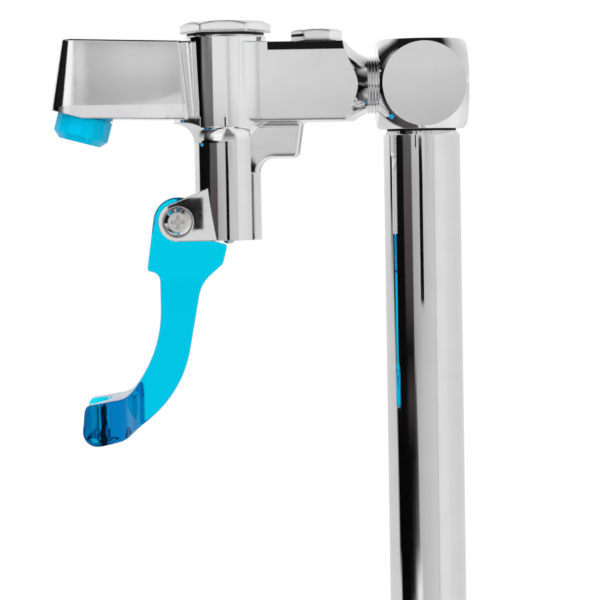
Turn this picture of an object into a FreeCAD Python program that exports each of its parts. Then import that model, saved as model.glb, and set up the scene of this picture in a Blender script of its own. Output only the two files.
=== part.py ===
"""Deck-mounted glass filler faucet with a push-back lever.

Millimetres, +Z up. The origin is on the riser's axis at the deck, the spout points
along -X, and Y = 0 is the plane of symmetry of the valve.
"""
import FreeCAD, Part
import math
import os
import re
import Sketcher

V = FreeCAD.Vector
X_AXIS, Y_AXIS, Z_AXIS = V(1, 0, 0), V(0, 1, 0), V(0, 0, 1)

doc = FreeCAD.newDocument("GlassFiller")
sheet = doc.addObject("Spreadsheet::Sheet", "Sizes")

SIZES = [
    # Deck fitting
    ("gasket_thick", 1.5, "rubber gasket between flange and deck"),
    ("gasket_dia", 50, "gasket outside diameter"),
    ("flange_dia", 54, "deck flange outside diameter"),
    ("flange_rim", 2.6, "straight rim of the flange"),
    ("flange_tall", 13, "flange height over the gasket"),
    ("flange_collar_dia", 31.5, "top of the flange round the riser"),
    ("flange_floor", 3, "floor of the flange that the riser stands on"),
    ("shank_dia", 20.6, "half inch straight pipe thread under the deck"),
    ("shank_bore", 13, "waterway of the shank"),
    ("shank_below", 58, "shank below the deck"),
    ("shank_relief", 1.5, "thread relief between lock nut and supply end"),
    ("supply_long", 12.5, "supply end of the shank"),
    ("ridge_pitch", 2.5, "ridges that stand for the shank's thread"),
    ("ridge_deep", 0.9, "ridges that stand for the shank's thread"),
    ("shank_above", 18, "shank screwed up into the riser"),
    ("deck_thick", 32, "deck that the nut clamps"),
    ("deck_washer_dia", 38, "washer under the deck"),
    ("deck_washer_thick", 2, "washer under the deck"),
    ("nut_flats", 31, "lock nut across flats"),
    ("nut_tall", 8, "lock nut height"),
    # Riser and elbow
    ("riser_tall", 203.2, "deck to the underside of the elbow, eight inches"),
    ("riser_dia", 26.7, "three-quarter inch pipe"),
    ("riser_bore", 20.9, "riser bore"),
    ("riser_chamfer", 1.5, "turned end of the riser"),
    ("riser_spigot_dia", 23.4, "threaded end in the elbow"),
    ("spigot_gap", 0.55, "between the riser's end and the neck in the elbow"),
    ("riser_washer_thick", 0.6, "sealing washer under the elbow"),
    ("elbow_size", 31, "cube that the elbow is turned from"),
    ("elbow_disc_dia", 29, "flat disc left on each side of the elbow"),
    ("elbow_passage", 14, "waterway of the elbow"),
    # Arm
    ("neck_dia", 18.9, "thread between arm and elbow"),
    ("neck_shown", 3.6, "thread left open between arm and elbow"),
    ("neck_in_elbow", 9.5, "thread screwed into the elbow"),
    ("inlet_bore", 11, "waterway of the arm"),
    ("arm_depth", 23.8, "arm, front to back"),
    ("arm_rise", 15.3, "arm top over its axis"),
    ("arm_drop", 12.3, "arm underside below its axis"),
    ("arm_bevel", 3, "bevel along both upper edges"),
    ("bevel_start", 14.2, "valve axis to the start of the bevels"),
    ("arm_edge", 1.2, "rounding of the lower edges"),
    ("flare_mid_long", 4.2, "turned end of the arm, middle of the flare"),
    ("flare_mid_radius", 12.2, "turned end of the arm, middle of the flare"),
    ("flare_long", 9.1, "turned end of the arm, to the outer corner"),
    ("flare_radius", 19.2, "turned end of the arm, to the outer corner"),
    # Valve drum and barrel
    ("valve_reach", 68.0, "riser axis to valve axis"),
    ("drum_dia", 28.2, "drum over the valve seat"),
    ("drum_rise", 17.9, "drum top over the arm axis"),
    ("drum_chamfer", 0.7, "turned edge of the drum"),
    ("web_radius", 17, "hollow corners between drum and arm"),
    ("groove_radius_low", 1.2, "groove between drum and spout, at the underside"),
    ("groove_radius_high", 2.1, "groove between drum and spout, at the top"),
    ("groove_low", 50, "where the groove meets the drum, at the underside, degrees"),
    ("groove_high", 58, "where the groove meets the drum, at the top, degrees"),
    ("groove_edge", 1.6, "rounding of the spout's side towards the groove"),
    ("barrel_dia", 23, "barrel round the stem"),
    ("barrel_drop", 53.1, "barrel end below the arm axis"),
    ("barrel_flare", 7, "flare where the barrel leaves the body"),
    ("barrel_bore", 17, "open bore that takes the lever's tail and the guide"),
    ("inlet_chamber_dia", 14, "chamber under the seat"),
    ("outlet_chamber_dia", 22, "chamber over the seat, closed by the cap"),
    ("boss_left", 11.4, "inlet boss: valve axis to the start of its underside"),
    ("boss_right", 25, "inlet boss: valve axis to its right side, at the bottom"),
    ("boss_lean", 2, "inlet boss: its right side leans out by this much"),
    ("boss_drop", 12.6, "inlet boss below the arm underside"),
    ("boss_depth", 17, "inlet boss, front to back"),
    ("boss_edge", 2.2, "inlet boss: rounding"),
    ("boss_cove", 1.9, "inlet boss: hollow corner to the arm's underside"),
    ("boss_sweep", 5, "inlet boss: hollow corner to the barrel"),
    ("feed_dia", 6, "waterway through the boss"),
    # Clevis
    ("pivot_reach", 17.7, "valve axis to lever pivot"),
    ("ear_radius", 6.7, "clevis ear round the pivot"),
    ("ear_slope", 21.8, "slope of the ears' upper edge, degrees"),
    ("ear_half_low", 10.6, "half width over the ears, at the bottom"),
    ("ear_draft", 5, "casting draft of the ears, degrees"),
    ("ear_gap", 11.6, "gap between the ears"),
    ("ear_flat_dia", 10.6, "spot face under the screw head"),
    ("ear_flat_half", 9.5, "spot face: distance from the middle plane"),
    ("slot_tall", 15.2, "slot in the barrel wall between the ears"),
    # Spout
    ("spout_long", 61.7, "valve axis to the end of the spout, at its underside"),
    ("spout_end_lean", 10.3, "lean of the end of the spout, degrees"),
    ("spout_rise", 15.7, "spout top over the arm axis, at the drum"),
    ("spout_top_slope", 1.8, "slope of the spout top, degrees"),
    ("spout_floor_slope", 1.4, "slope of the spout underside, degrees"),
    ("spout_band", 5.5, "upright band along the foot of the spout's sides"),
    ("spout_drop", 11.3, "spout underside below the arm axis, at the drum"),
    ("spout_half_low", 11, "half width of the spout, underside"),
    ("spout_half_high", 9.2, "half width of the spout, top"),
    ("spout_corner_low", 7.6, "rounded end of the spout, underside"),
    ("spout_corner_high", 4.3, "rounded end of the spout, top"),
    ("spout_edge", 0.9, "rounding along the spout's edges"),
    ("spout_bore", 11, "waterway of the spout"),
    ("spout_bore_rise", 1.3, "waterway of the spout over the arm axis"),
    # Nozzle
    ("nozzle_reach", 49.3, "valve axis to nozzle axis, at the spout underside"),
    ("nozzle_tilt", 15, "tilt of the nozzle, degrees"),
    ("nozzle_flats", 19, "nozzle across flats"),
    ("nozzle_below", 8.4, "nozzle below the spout, on its axis"),
    ("nozzle_groove_at", 0.7, "groove over the seat plane"),
    ("nozzle_groove_wide", 0.6, "groove between body and collar"),
    ("nozzle_groove_deep", 0.6, "groove between body and collar"),
    ("nozzle_collar", 3.5, "collar sunk into the spout"),
    ("nozzle_chamfer", 2.2, "chamfer round the outlet"),
    ("nozzle_spigot_dia", 15.6, "spigot in the spout"),
    ("nozzle_spigot_long", 6, "spigot in the spout"),
    ("nozzle_bore", 11, "bore of the nozzle"),
    ("nozzle_fit", 0.1, "clearance of the nozzle in the spout"),
    ("screen_thick", 2, "flow straightener"),
    ("screen_inset", 1.6, "flow straightener over the outlet"),
    ("screen_cell", 1.5, "flow straightener cells, across flats"),
    # Cap nut and plug
    ("cap_flats", 27.4, "cap nut across flats"),
    ("cap_tall", 3.9, "cap nut head"),
    ("cap_turn", 3.5, "cap nut off square, degrees"),
    ("cap_spigot_long", 9, "cap nut thread"),
    ("cap_pocket_dia", 13, "spring pocket in the cap nut"),
    ("cap_pocket_deep", 10, "spring pocket in the cap nut"),
    ("cap_gasket_thick", 0.8, "gasket under the cap nut"),
    ("plug_reach", 36.3, "riser axis to the service plug"),
    ("plug_flats", 15.5, "service plug across flats"),
    ("plug_tall", 3.8, "service plug head"),
    ("plug_thread_dia", 10, "service plug thread"),
    ("plug_thread_long", 8, "service plug thread"),
    ("plug_washer_thick", 0.4, "washer under the service plug"),
    ("head_chamfer", 25, "slope of the chamfer on the hexagon heads, degrees"),
    # Valve stem and its seals
    ("stem_dia", 5, "stem"),
    ("stem_collar_dia", 14, "collar over the valve disc"),
    ("stem_collar_tall", 2.2, "collar over the valve disc"),
    ("stem_pilot_dia", 7, "pilot in the spring"),
    ("stem_pilot_tall", 3.5, "pilot in the spring"),
    ("disc_thick", 3, "rubber valve disc"),
    ("clip_dia", 8.4, "clip under the valve disc"),
    ("clip_thick", 1, "clip under the valve disc"),
    ("seat_hole", 10.4, "hole of the seat"),
    ("seat_dia", 16.8, "seat ring"),
    ("seat_tall", 5.5, "seat ring"),
    ("seat_lip", 0.6, "raised lip of the seat"),
    ("guide_tall", 11, "stem guide"),
    ("guide_groove_tall", 2.2, "seal groove of the stem guide"),
    ("guide_groove_dia", 8.6, "seal groove of the stem guide"),
    ("running_fit", 0.05, "radial clearance of parts that slide or turn"),
    ("thread_fit", 0.05, "radial clearance of threads"),
    ("seat_gap", 0.3, "clearance between pieces that part when they move"),
    ("spring_wire", 1.2, "valve spring wire"),
    ("spring_dia", 9.6, "valve spring, over the wire's middle"),
    ("spring_turns", 5, "valve spring"),
    # Lever and pivot
    ("lever_head", 8.6, "lever head radius round the pivot"),
    ("lever_thick", 11, "lever between the ears"),
    ("arm_thick", 12, "lever below the ears"),
    ("fork_wide", 34, "fork, front to back"),
    ("fork_notch_wide", 25, "notch of the fork, at its mouth"),
    ("fork_notch_deep", 10, "notch of the fork"),
    ("lever_shoulder", 20.5, "pivot to the step between head and grip"),
    ("bush_dia", 7, "bush that the lever turns on"),
    ("screw_dia", 5, "pivot screw"),
    ("screw_head_dia", 9.7, "pivot screw head"),
    ("screw_head_tall", 2.6, "pivot screw head"),
    ("screw_face_dia", 6.6, "flat on the pivot screw head"),
    ("recess_long", 4.6, "cross recess, tip to tip"),
    ("recess_wide", 1.1, "cross recess, one blade"),
    ("recess_deep", 1.5, "cross recess"),
]

for row, (alias, value, note) in enumerate(SIZES, start=1):
    sheet.set("A%d" % row, note)
    sheet.set("B%d" % row, str(value))
    sheet.setAlias("B%d" % row, alias)
doc.recompute()

ALIASES = {alias for alias, value, note in SIZES}


def size(alias):
    """A driving dimension, read back from the sheet."""
    return float(sheet.get(alias))


def bound(text):
    """The same formula with each size pointed at its cell."""
    def cell(match):
        word = match.group(0)
        return "Sizes." + word if word in ALIASES else word
    return re.sub(r"[A-Za-z_]\w*", cell, text)


def put(part, x="0", y="0", z="0", turn=None):
    """Place a sub-part by formulas, after an optional turn."""
    if turn is not None:
        part.Placement = FreeCAD.Placement(V(), turn)
    for letter, formula in zip("xyz", (x, y, z)):
        part.setExpression("Placement.Base." + letter, bound(formula))
    return part


def outline(body, name, role, corners):
    """A closed polygon sketch whose corners are pairs of formulas."""
    sketch = body.newObject("Sketcher::SketchObject", name)
    plane = [item for item in body.Origin.OriginFeatures if item.Role == role][0]
    sketch.AttachmentSupport = (plane, [""])
    sketch.MapMode = "FlatFace"
    count = len(corners)
    angles = [2 * math.pi * step / count for step in range(count)]
    starts = [V(10 + 5 * math.cos(angle), 5 * math.sin(angle), 0) for angle in angles]
    for step in range(count):
        sketch.addGeometry(Part.LineSegment(starts[step], starts[(step + 1) % count]), False)
    for step in range(count):
        sketch.addConstraint(Sketcher.Constraint("Coincident", step, 2, (step + 1) % count, 1))
    for step, (across, along) in enumerate(corners):
        start = starts[step]
        first = sketch.addConstraint(Sketcher.Constraint("DistanceX", -1, 1, step, 1, start.x))
        second = sketch.addConstraint(Sketcher.Constraint("DistanceY", -1, 1, step, 1, start.y))
        sketch.setExpression("Constraints[%d]" % first, bound(across))
        sketch.setExpression("Constraints[%d]" % second, bound(along))
    return sketch


def new_body(label):
    body = doc.addObject("PartDesign::Body", label)
    body.Label = label
    return body


def turn_into(body, corners, name="turning", cut=False):
    """Revolve a (radius, height) outline about the body's own upright axis."""
    sketch = outline(body, body.Label + "_" + name, "XZ_Plane", corners)
    kind = "PartDesign::Groove" if cut else "PartDesign::Revolution"
    feature = body.newObject(kind, body.Label + "_" + name + "_turned")
    feature.Profile = sketch
    feature.ReferenceAxis = (sketch, ["V_Axis"])
    feature.Angle = 360
    body.Tip = feature
    return feature


def turned(label, corners):
    body = new_body(label)
    turn_into(body, corners)
    return body


def round_rims(body, rims, radius):
    """Fillet the circular edges that lie at the given (radius, height) pairs."""
    doc.recompute()
    found = []
    for number, edge in enumerate(body.Tip.Shape.Edges, start=1):
        if edge.Curve.TypeId != "Part::GeomCircle":
            continue
        for rim_radius, height in rims:
            level = edge.Curve.Center.z
            if abs(edge.Curve.Radius - rim_radius) < 0.01 and abs(level - height) < 0.01:
                found.append("Edge%d" % number)
    base = body.Tip
    fillet = body.newObject("PartDesign::Fillet", body.Label + "_rounding")
    fillet.Base = (base, found)
    fillet.setExpression("Radius", bound(radius))
    body.Tip = fillet
    return fillet


def washer(label, bore, outside, thick):
    """A flat ring standing on its own XY plane."""
    return turned(label, [(bore, "0"), (outside, "0"), (outside, thick), (bore, thick)])


def polygon_into(body, sides, flats, tall, name="flats", offset=0.5):
    """Pad a regular polygon, given across its flats, up from the body's XY plane."""
    radius = "%s / 2 / cos(%.6f deg)" % (flats, 180 / sides)
    corners = []
    for step in range(sides):
        angle = "%.6f deg" % (360 * (step + offset) / sides)
        corners.append(("%s * cos(%s)" % (radius, angle), "%s * sin(%s)" % (radius, angle)))
    sketch = outline(body, body.Label + "_" + name, "XY_Plane", corners)
    pad = body.newObject("PartDesign::Pad", body.Label + "_" + name + "_pad")
    pad.Profile = sketch
    pad.setExpression("Length", bound(tall))
    body.Tip = pad
    return pad


def chamfer_head(body, flats, tall, slope="head_chamfer", name="chamfer"):
    """Turn the corners off the top of a hexagon head."""
    start = "%s / 2 * 0.97" % flats
    outer = "%s * 0.75" % flats
    drop = "(%s - %s) * tan(%s * 1 deg)" % (outer, start, slope)
    corners = [(start, tall + " + 0.001"), (outer, tall + " + 0.001"), (outer, "%s - %s" % (tall, drop))]
    turn_into(body, corners, name, cut=True)


# Levels and stations that several pieces share, as formulas
ARM_Z = "riser_tall + elbow_size / 2"
VALVE_X = "-valve_reach"
BARREL_END = "riser_tall + elbow_size / 2 - barrel_drop"
SEAT_FLOOR = "riser_tall + elbow_size / 2 - arm_drop"
SEAT_TOP = SEAT_FLOOR + " + seat_lip + 1"
GUIDE_FOOT = BARREL_END + " + slot_tall"
DRUM_TOP = "riser_tall + elbow_size / 2 + drum_rise"
SPIGOT_LONG = "(elbow_size / 2 - neck_dia / 2 - spigot_gap)"
RIDGE_START = "shank_below - deck_thick + ridge_pitch"

# The same stations as numbers, for the shapes made without sketches
arm_z = size("riser_tall") + size("elbow_size") / 2
valve_x = -size("valve_reach")
arm_end_x = -(size("elbow_size") / 2 + size("neck_shown"))
arm_top = arm_z + size("arm_rise")
arm_floor = arm_z - size("arm_drop")
drum_top = arm_z + size("drum_rise")
barrel_end = arm_z - size("barrel_drop")
spout_floor = arm_z - size("spout_drop")
seat_top = arm_floor + size("seat_lip") + 1
pivot = V(valve_x - size("pivot_reach"), 0, barrel_end + size("ear_radius"))


# Deck fitting

def cut_ridges(shank):
    """Cut vee grooves round the shank, from the washer under the deck up to the gasket."""
    crest = "shank_dia / 2 + 0.01"
    turn_into(shank, [(crest, RIDGE_START + " - ridge_pitch * 0.45"),
                      (crest, RIDGE_START + " + ridge_pitch * 0.45"),
                      ("shank_dia / 2 - ridge_deep", RIDGE_START)], "ridge", cut=True)
    groove = shank.Tip
    row = shank.newObject("PartDesign::LinearPattern", "inlet_shank_ridges")
    row.Originals = [groove]
    axis = [item for item in shank.Origin.OriginFeatures if item.Role == "Z_Axis"][0]
    row.Direction = (axis, [""])
    count = int((size("deck_thick") - 1) / size("ridge_pitch"))
    row.Occurrences = count
    row.setExpression("Length", bound("ridge_pitch * %d" % (count - 1)))
    shank.Tip = row


def make_deck_fitting():
    washer("flange_gasket", "shank_dia / 2 + 0.4", "gasket_dia / 2", "gasket_thick")

    flange = turned("deck_flange", [
        ("shank_dia / 2 + 0.2", "0"),
        ("flange_dia / 2 - 0.6", "0"),
        ("flange_dia / 2", "0.6"),
        ("flange_dia / 2", "flange_rim"),
        ("flange_dia / 2 - 1.2", "flange_rim + 1.1"),
        ("flange_dia / 2 - 4.5", "flange_rim + 2.4"),
        ("flange_collar_dia / 2 + 1.8", "flange_tall - 4.2"),
        ("flange_collar_dia / 2", "flange_tall - 2.6"),
        ("flange_collar_dia / 2", "flange_tall - 0.6"),
        ("flange_collar_dia / 2 - 0.6", "flange_tall"),
        ("riser_dia / 2 + thread_fit", "flange_tall"),
        ("riser_dia / 2 + thread_fit", "flange_floor"),
        ("shank_dia / 2 + 0.2", "flange_floor"),
    ])
    put(flange, z="gasket_thick")

    shank = turned("inlet_shank", [
        ("shank_bore / 2", "0"),
        ("shank_dia / 2 - 1", "0"),
        ("shank_dia / 2", "1"),
        ("shank_dia / 2", "1 + supply_long"),
        ("shank_dia / 2 - 0.8", "1 + supply_long"),
        ("shank_dia / 2 - 0.8", "1 + supply_long + shank_relief"),
        ("shank_dia / 2", "1 + supply_long + shank_relief"),
        ("shank_dia / 2", "shank_below + shank_above"),
        ("shank_bore / 2", "shank_below + shank_above"),
    ])
    cut_ridges(shank)
    put(shank, z="-shank_below")

    plate = washer("deck_washer", "shank_dia / 2 + 0.3", "deck_washer_dia / 2", "deck_washer_thick")
    put(plate, z="-deck_thick - deck_washer_thick")

    nut = new_body("lock_nut")
    polygon_into(nut, 6, "nut_flats", "nut_tall")
    turn_into(nut, [("0", "-1"), ("shank_dia / 2 + thread_fit", "-1"),
                    ("shank_dia / 2 + thread_fit", "nut_tall + 1"), ("0", "nut_tall + 1")],
              "bore", cut=True)
    chamfer_head(nut, "nut_flats", "nut_tall")
    put(nut, z="-deck_thick - deck_washer_thick", turn=FreeCAD.Rotation(X_AXIS, 180))


# Riser and elbow

def make_riser():
    shoulder = "riser_tall - riser_washer_thick"
    riser = turned("riser_tube", [
        ("riser_bore / 2", "gasket_thick + flange_floor"),
        ("riser_dia / 2", "gasket_thick + flange_floor"),
        ("riser_dia / 2", shoulder + " - riser_chamfer"),
        ("riser_dia / 2 - riser_chamfer", shoulder),
        ("riser_spigot_dia / 2", shoulder),
        ("riser_spigot_dia / 2", "riser_tall + " + SPIGOT_LONG),
        ("riser_bore / 2", "riser_tall + " + SPIGOT_LONG),
    ])
    put(riser)
    seal = washer("riser_washer", "riser_spigot_dia / 2 + thread_fit",
                  "riser_dia / 2 - riser_chamfer + 0.2", "riser_washer_thick")
    put(seal, z=shoulder)


def primitive(kind, name, place=("0", "0", "0"), turn=None, **formulas):
    """A Part primitive whose dimensions are formulas on the sheet."""
    item = doc.addObject("Part::" + kind, name)
    for key, formula in formulas.items():
        item.setExpression(key, bound(formula))
    put(item, *place, turn=turn)
    return item


def make_elbow():
    """A cube turned down by a ball, so that each side keeps a round flat."""
    block = primitive("Box", "elbow_block",
                      ("-elbow_size / 2", "-elbow_size / 2", "riser_tall"),
                      Length="elbow_size", Width="elbow_size", Height="elbow_size")
    ball = primitive("Sphere", "elbow_ball", ("0", "0", ARM_Z),
                     Radius="sqrt(elbow_size * elbow_size + elbow_disc_dia * elbow_disc_dia) / 2")
    turned_block = doc.addObject("Part::Common", "elbow_turned")
    turned_block.Base = block
    turned_block.Tool = ball
    riser_thread = primitive("Cylinder", "elbow_riser_thread", ("0", "0", "riser_tall - 1"),
                             Radius="riser_spigot_dia / 2 + thread_fit",
                             Height=SPIGOT_LONG + " + 1")
    passage = primitive("Cylinder", "elbow_riser_passage", ("0", "0", "riser_tall"),
                        Radius="elbow_passage / 2", Height="elbow_size / 2 + elbow_passage / 2")
    to_arm = FreeCAD.Rotation(Y_AXIS, -90)
    neck_thread = primitive("Cylinder", "elbow_neck_thread",
                            ("-elbow_size / 2 + neck_in_elbow", "0", ARM_Z), turn=to_arm,
                            Radius="neck_dia / 2 + thread_fit", Height="neck_in_elbow + 1")
    neck_passage = primitive("Cylinder", "elbow_neck_passage", ("0", "0", ARM_Z), turn=to_arm,
                             Radius="elbow_passage / 2", Height="elbow_size / 2")
    bores = doc.addObject("Part::MultiFuse", "elbow_bores")
    bores.Shapes = [riser_thread, passage, neck_thread, neck_passage]
    elbow = doc.addObject("Part::Cut", "elbow_body")
    elbow.Base = turned_block
    elbow.Tool = bores
    elbow.Label = "elbow_body"


# The valve body: one casting of arm, drum, spout, barrel, boss and clevis

def box_between(low, high):
    span = high - low
    return Part.makeBox(span.x, span.y, span.z, low)


def rod(foot, direction, radius, length):
    return Part.makeCylinder(radius, length, foot, direction)


def prism(points, direction):
    """Sweep a flat closed outline along a straight direction."""
    wire = Part.makePolygon(points + [points[0]])
    return Part.Face(wire).extrude(direction)


def side_plate(outline_edges, half):
    """Extrude an upright outline to both sides of the middle plane."""
    face = Part.Face(Part.Wire(outline_edges))
    face.translate(V(0, -half, 0))
    return face.extrude(V(0, 2 * half, 0))


def web_section(side, level):
    """Plan of the hollow corner between the drum and the arm's wall on one side."""
    drum = size("drum_dia") / 2
    web = size("web_radius")
    half = size("arm_depth") / 2
    centre_x = math.sqrt((drum + web) ** 2 - (half + web) ** 2)
    centre = V(valve_x + centre_x, side * (half + web), level)
    axis = V(valve_x, 0, level)
    on_drum = axis + (centre - axis).normalize() * drum
    on_wall = V(centre.x, side * half, level)
    middle = centre + ((on_drum + on_wall) * 0.5 - centre).normalize() * web
    inner = V(valve_x + drum * 0.3, side * half * 0.6, level)
    return Part.Wire([Part.Arc(on_wall, middle, on_drum).toShape(),
                      Part.makeLine(on_drum, inner), Part.makeLine(inner, on_wall)])


def make_arm():
    half = size("arm_depth") / 2
    block = box_between(V(valve_x, -half, arm_floor), V(arm_end_x, half, arm_top))
    low_edges = [edge for edge in block.Edges
                 if abs(edge.CenterOfMass.z - arm_floor) < 0.01
                 and abs(abs(edge.CenterOfMass.y) - half) < 0.01]
    block = block.makeFillet(size("arm_edge"), low_edges)
    for side in (-1, 1):
        section = web_section(side, arm_floor + size("arm_edge"))
        web = Part.Face(section).extrude(V(0, 0, arm_top - arm_floor - size("arm_edge")))
        block = block.fuse(web)
    bevel = size("arm_bevel")
    reach = half + bevel
    for side in (-1, 1):
        start = valve_x + size("bevel_start")
        wedge = prism([V(start, side * (half - bevel), arm_top + 0.01),
                       V(start, side * (half + reach), arm_top + 0.01),
                       V(start, side * (half + reach), arm_top - bevel - reach)],
                      V(arm_end_x - start + 2, 0, 0))
        block = block.cut(wedge)

    neck = size("neck_dia") / 2 + 0.4
    far = size("flare_radius") + 8
    start = V(arm_end_x, 0, 0)
    profile = [
        Part.makeLine(start, start + V(0, 0, neck)),
        Part.Arc(start + V(0, 0, neck),
                 start + V(-size("flare_mid_long"), 0, size("flare_mid_radius")),
                 start + V(-size("flare_long"), 0, size("flare_radius"))).toShape(),
        Part.makeLine(start + V(-size("flare_long"), 0, size("flare_radius")),
                      start + V(-size("flare_long") - 4, 0, far)),
        Part.makeLine(start + V(-size("flare_long") - 4, 0, far), V(valve_x - 2, 0, far)),
        Part.makeLine(V(valve_x - 2, 0, far), V(valve_x - 2, 0, 0)),
        Part.makeLine(V(valve_x - 2, 0, 0), start),
    ]
    turned_end = Part.Face(Part.Wire(profile)).revolve(V(), X_AXIS, 360)
    turned_end.translate(V(0, 0, arm_z))
    arm = block.common(turned_end)
    thread_end = -size("elbow_size") / 2 + size("neck_in_elbow")
    neck_thread = rod(V(arm_end_x - 0.5, 0, arm_z), X_AXIS, size("neck_dia") / 2,
                      thread_end - arm_end_x + 0.5)
    return arm.fuse(neck_thread)


def spout_section(level):
    """Plan of the spout at a level: straight sides and a rounded end."""
    low, high = spout_floor, arm_z + size("spout_rise")
    share = (level - low) / (high - low)
    band = low + size("spout_band")
    half = size("spout_half_low")
    if level > band:
        half += (size("spout_half_high") - half) * (level - band) / (high - band)
    corner = size("spout_corner_low") + (size("spout_corner_high") - size("spout_corner_low")) * share
    end = valve_x - size("spout_long") + (level - low) * math.tan(math.radians(size("spout_end_lean")))
    bend = corner * (1 - math.sqrt(0.5))
    edges = [Part.makeLine(V(valve_x, -half, level), V(end + corner, -half, level)),
             Part.Arc(V(end + corner, -half, level), V(end + bend, -half + bend, level),
                      V(end, -half + corner, level)).toShape(),
             Part.makeLine(V(end, -half + corner, level), V(end, half - corner, level)),
             Part.Arc(V(end, half - corner, level), V(end + bend, half - bend, level),
                      V(end + corner, half, level)).toShape(),
             Part.makeLine(V(end + corner, half, level), V(valve_x, half, level)),
             Part.makeLine(V(valve_x, half, level), V(valve_x, -half, level))]
    return Part.Wire(edges)


def spout_groove(side, level):
    """Plan of the groove between spout and drum on one side, open to the outside."""
    low, high = spout_floor, arm_z + size("spout_rise")
    share = (level - low) / (high - low)
    touch = math.radians(size("groove_low") + (size("groove_high") - size("groove_low")) * share)
    radius = size("groove_radius_low") + (size("groove_radius_high") - size("groove_radius_low")) * share
    aim = V(-math.sin(touch), side * math.cos(touch), 0)
    axis = V(valve_x, 0, level)
    centre = axis + aim * (size("drum_dia") / 2 + radius)
    on_wall = centre - X_AXIS * radius
    on_drum = centre - aim * radius
    floor = centre - (X_AXIS + aim).normalize() * radius
    outside = V(0, side * size("drum_dia"), 0)
    far_wall = V(on_wall.x, 0, level) + outside
    far_axis = axis + outside
    inside = V(valve_x, on_drum.y, level)
    return Part.Wire([Part.makeLine(far_wall, on_wall),
                      Part.Arc(on_wall, floor, on_drum).toShape(),
                      Part.makeLine(on_drum, inside),
                      Part.makeLine(inside, far_axis),
                      Part.makeLine(far_axis, far_wall)])


def nozzle_frame():
    """Point on the nozzle's axis at the spout underside, and the way it points."""
    tilt = math.radians(size("nozzle_tilt"))
    rise = size("nozzle_reach") * math.tan(math.radians(size("spout_floor_slope")))
    seat = V(valve_x - size("nozzle_reach"), 0, spout_floor + rise)
    return seat, V(-math.sin(tilt), 0, -math.cos(tilt))


def on_groove_lip(edge):
    """True for the upright edges where the spout's sides turn into the grooves."""
    middle = edge.CenterOfMass
    upright = abs(edge.tangentAt(edge.FirstParameter).z) > 0.9
    reach = size("drum_dia") / 2
    return (upright and abs(middle.y) > size("spout_half_high") - 1.5
            and valve_x - reach * 1.5 < middle.x < valve_x - reach * 0.5)


def make_spout():
    below, above = spout_floor - 2, arm_z + size("spout_rise") + 3
    band = spout_floor + size("spout_band")
    horn = Part.makeLoft([spout_section(below), spout_section(band), spout_section(above)],
                         True, True)
    for side in (-1, 1):
        horn = horn.cut(Part.makeLoft([spout_groove(side, below), spout_groove(side, above)],
                                      True, True))
    lips = [edge for edge in horn.Edges if on_groove_lip(edge)]
    horn = horn.makeFillet(size("groove_edge"), lips)
    seat, down = nozzle_frame()
    tilt = math.radians(size("nozzle_tilt"))
    far = valve_x - size("spout_long") - 5
    top_slope = math.tan(math.radians(size("spout_top_slope")))
    top = arm_z + size("spout_rise")
    side_view = prism([V(valve_x, -20, spout_floor), V(seat.x, -20, seat.z),
                       V(far, -20, seat.z + (seat.x - far) * math.tan(tilt)),
                       V(far, -20, top + (valve_x - far) * top_slope), V(valve_x, -20, top)],
                      V(0, 40, 0))
    horn = horn.common(side_view)
    top_edges = []
    for edge in horn.Edges:
        middle = edge.CenterOfMass
        on_top = abs(middle.z - (top + (valve_x - middle.x) * top_slope)) < 0.05
        if on_top and middle.x < valve_x - 2:
            top_edges.append(edge)
    return horn.makeFillet(size("spout_edge"), top_edges)


def make_barrel():
    """The barrel, with a hollow flare up to the underside of the body."""
    radius = size("barrel_dia") / 2
    flare = size("barrel_flare")
    barrel = rod(V(valve_x, 0, barrel_end), Z_AXIS, radius, arm_floor - barrel_end + 2)
    foot = V(radius, 0, arm_floor - flare)
    top = V(radius + flare, 0, arm_floor)
    bend = flare * (1 - math.sqrt(0.5))
    middle = V(radius + bend, 0, arm_floor - bend)
    edges = [Part.Arc(foot, middle, top).toShape(),
             Part.makeLine(top, top + V(0, 0, 2)),
             Part.makeLine(top + V(0, 0, 2), V(0, 0, arm_floor + 2)),
             Part.makeLine(V(0, 0, arm_floor + 2), V(0, 0, arm_floor - flare)),
             Part.makeLine(V(0, 0, arm_floor - flare), foot)]
    skirt = Part.Face(Part.Wire(edges)).revolve(V(), Z_AXIS, 360)
    skirt.translate(V(valve_x, 0, 0))
    plan = rod(V(valve_x, 0, arm_floor - flare - 1), Z_AXIS, size("drum_dia") / 2, flare + 4)
    half = size("arm_depth") / 2 - size("arm_edge")
    plan = plan.fuse(box_between(V(valve_x, -half, arm_floor - flare - 1),
                                 V(valve_x + 25, half, arm_floor + 3)))
    half = size("spout_half_low") - 0.3
    plan = plan.fuse(box_between(V(valve_x - 25, -half, arm_floor - flare - 1),
                                 V(valve_x, half, arm_floor + 3)))
    return barrel.fuse(skirt.common(plan))


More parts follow.
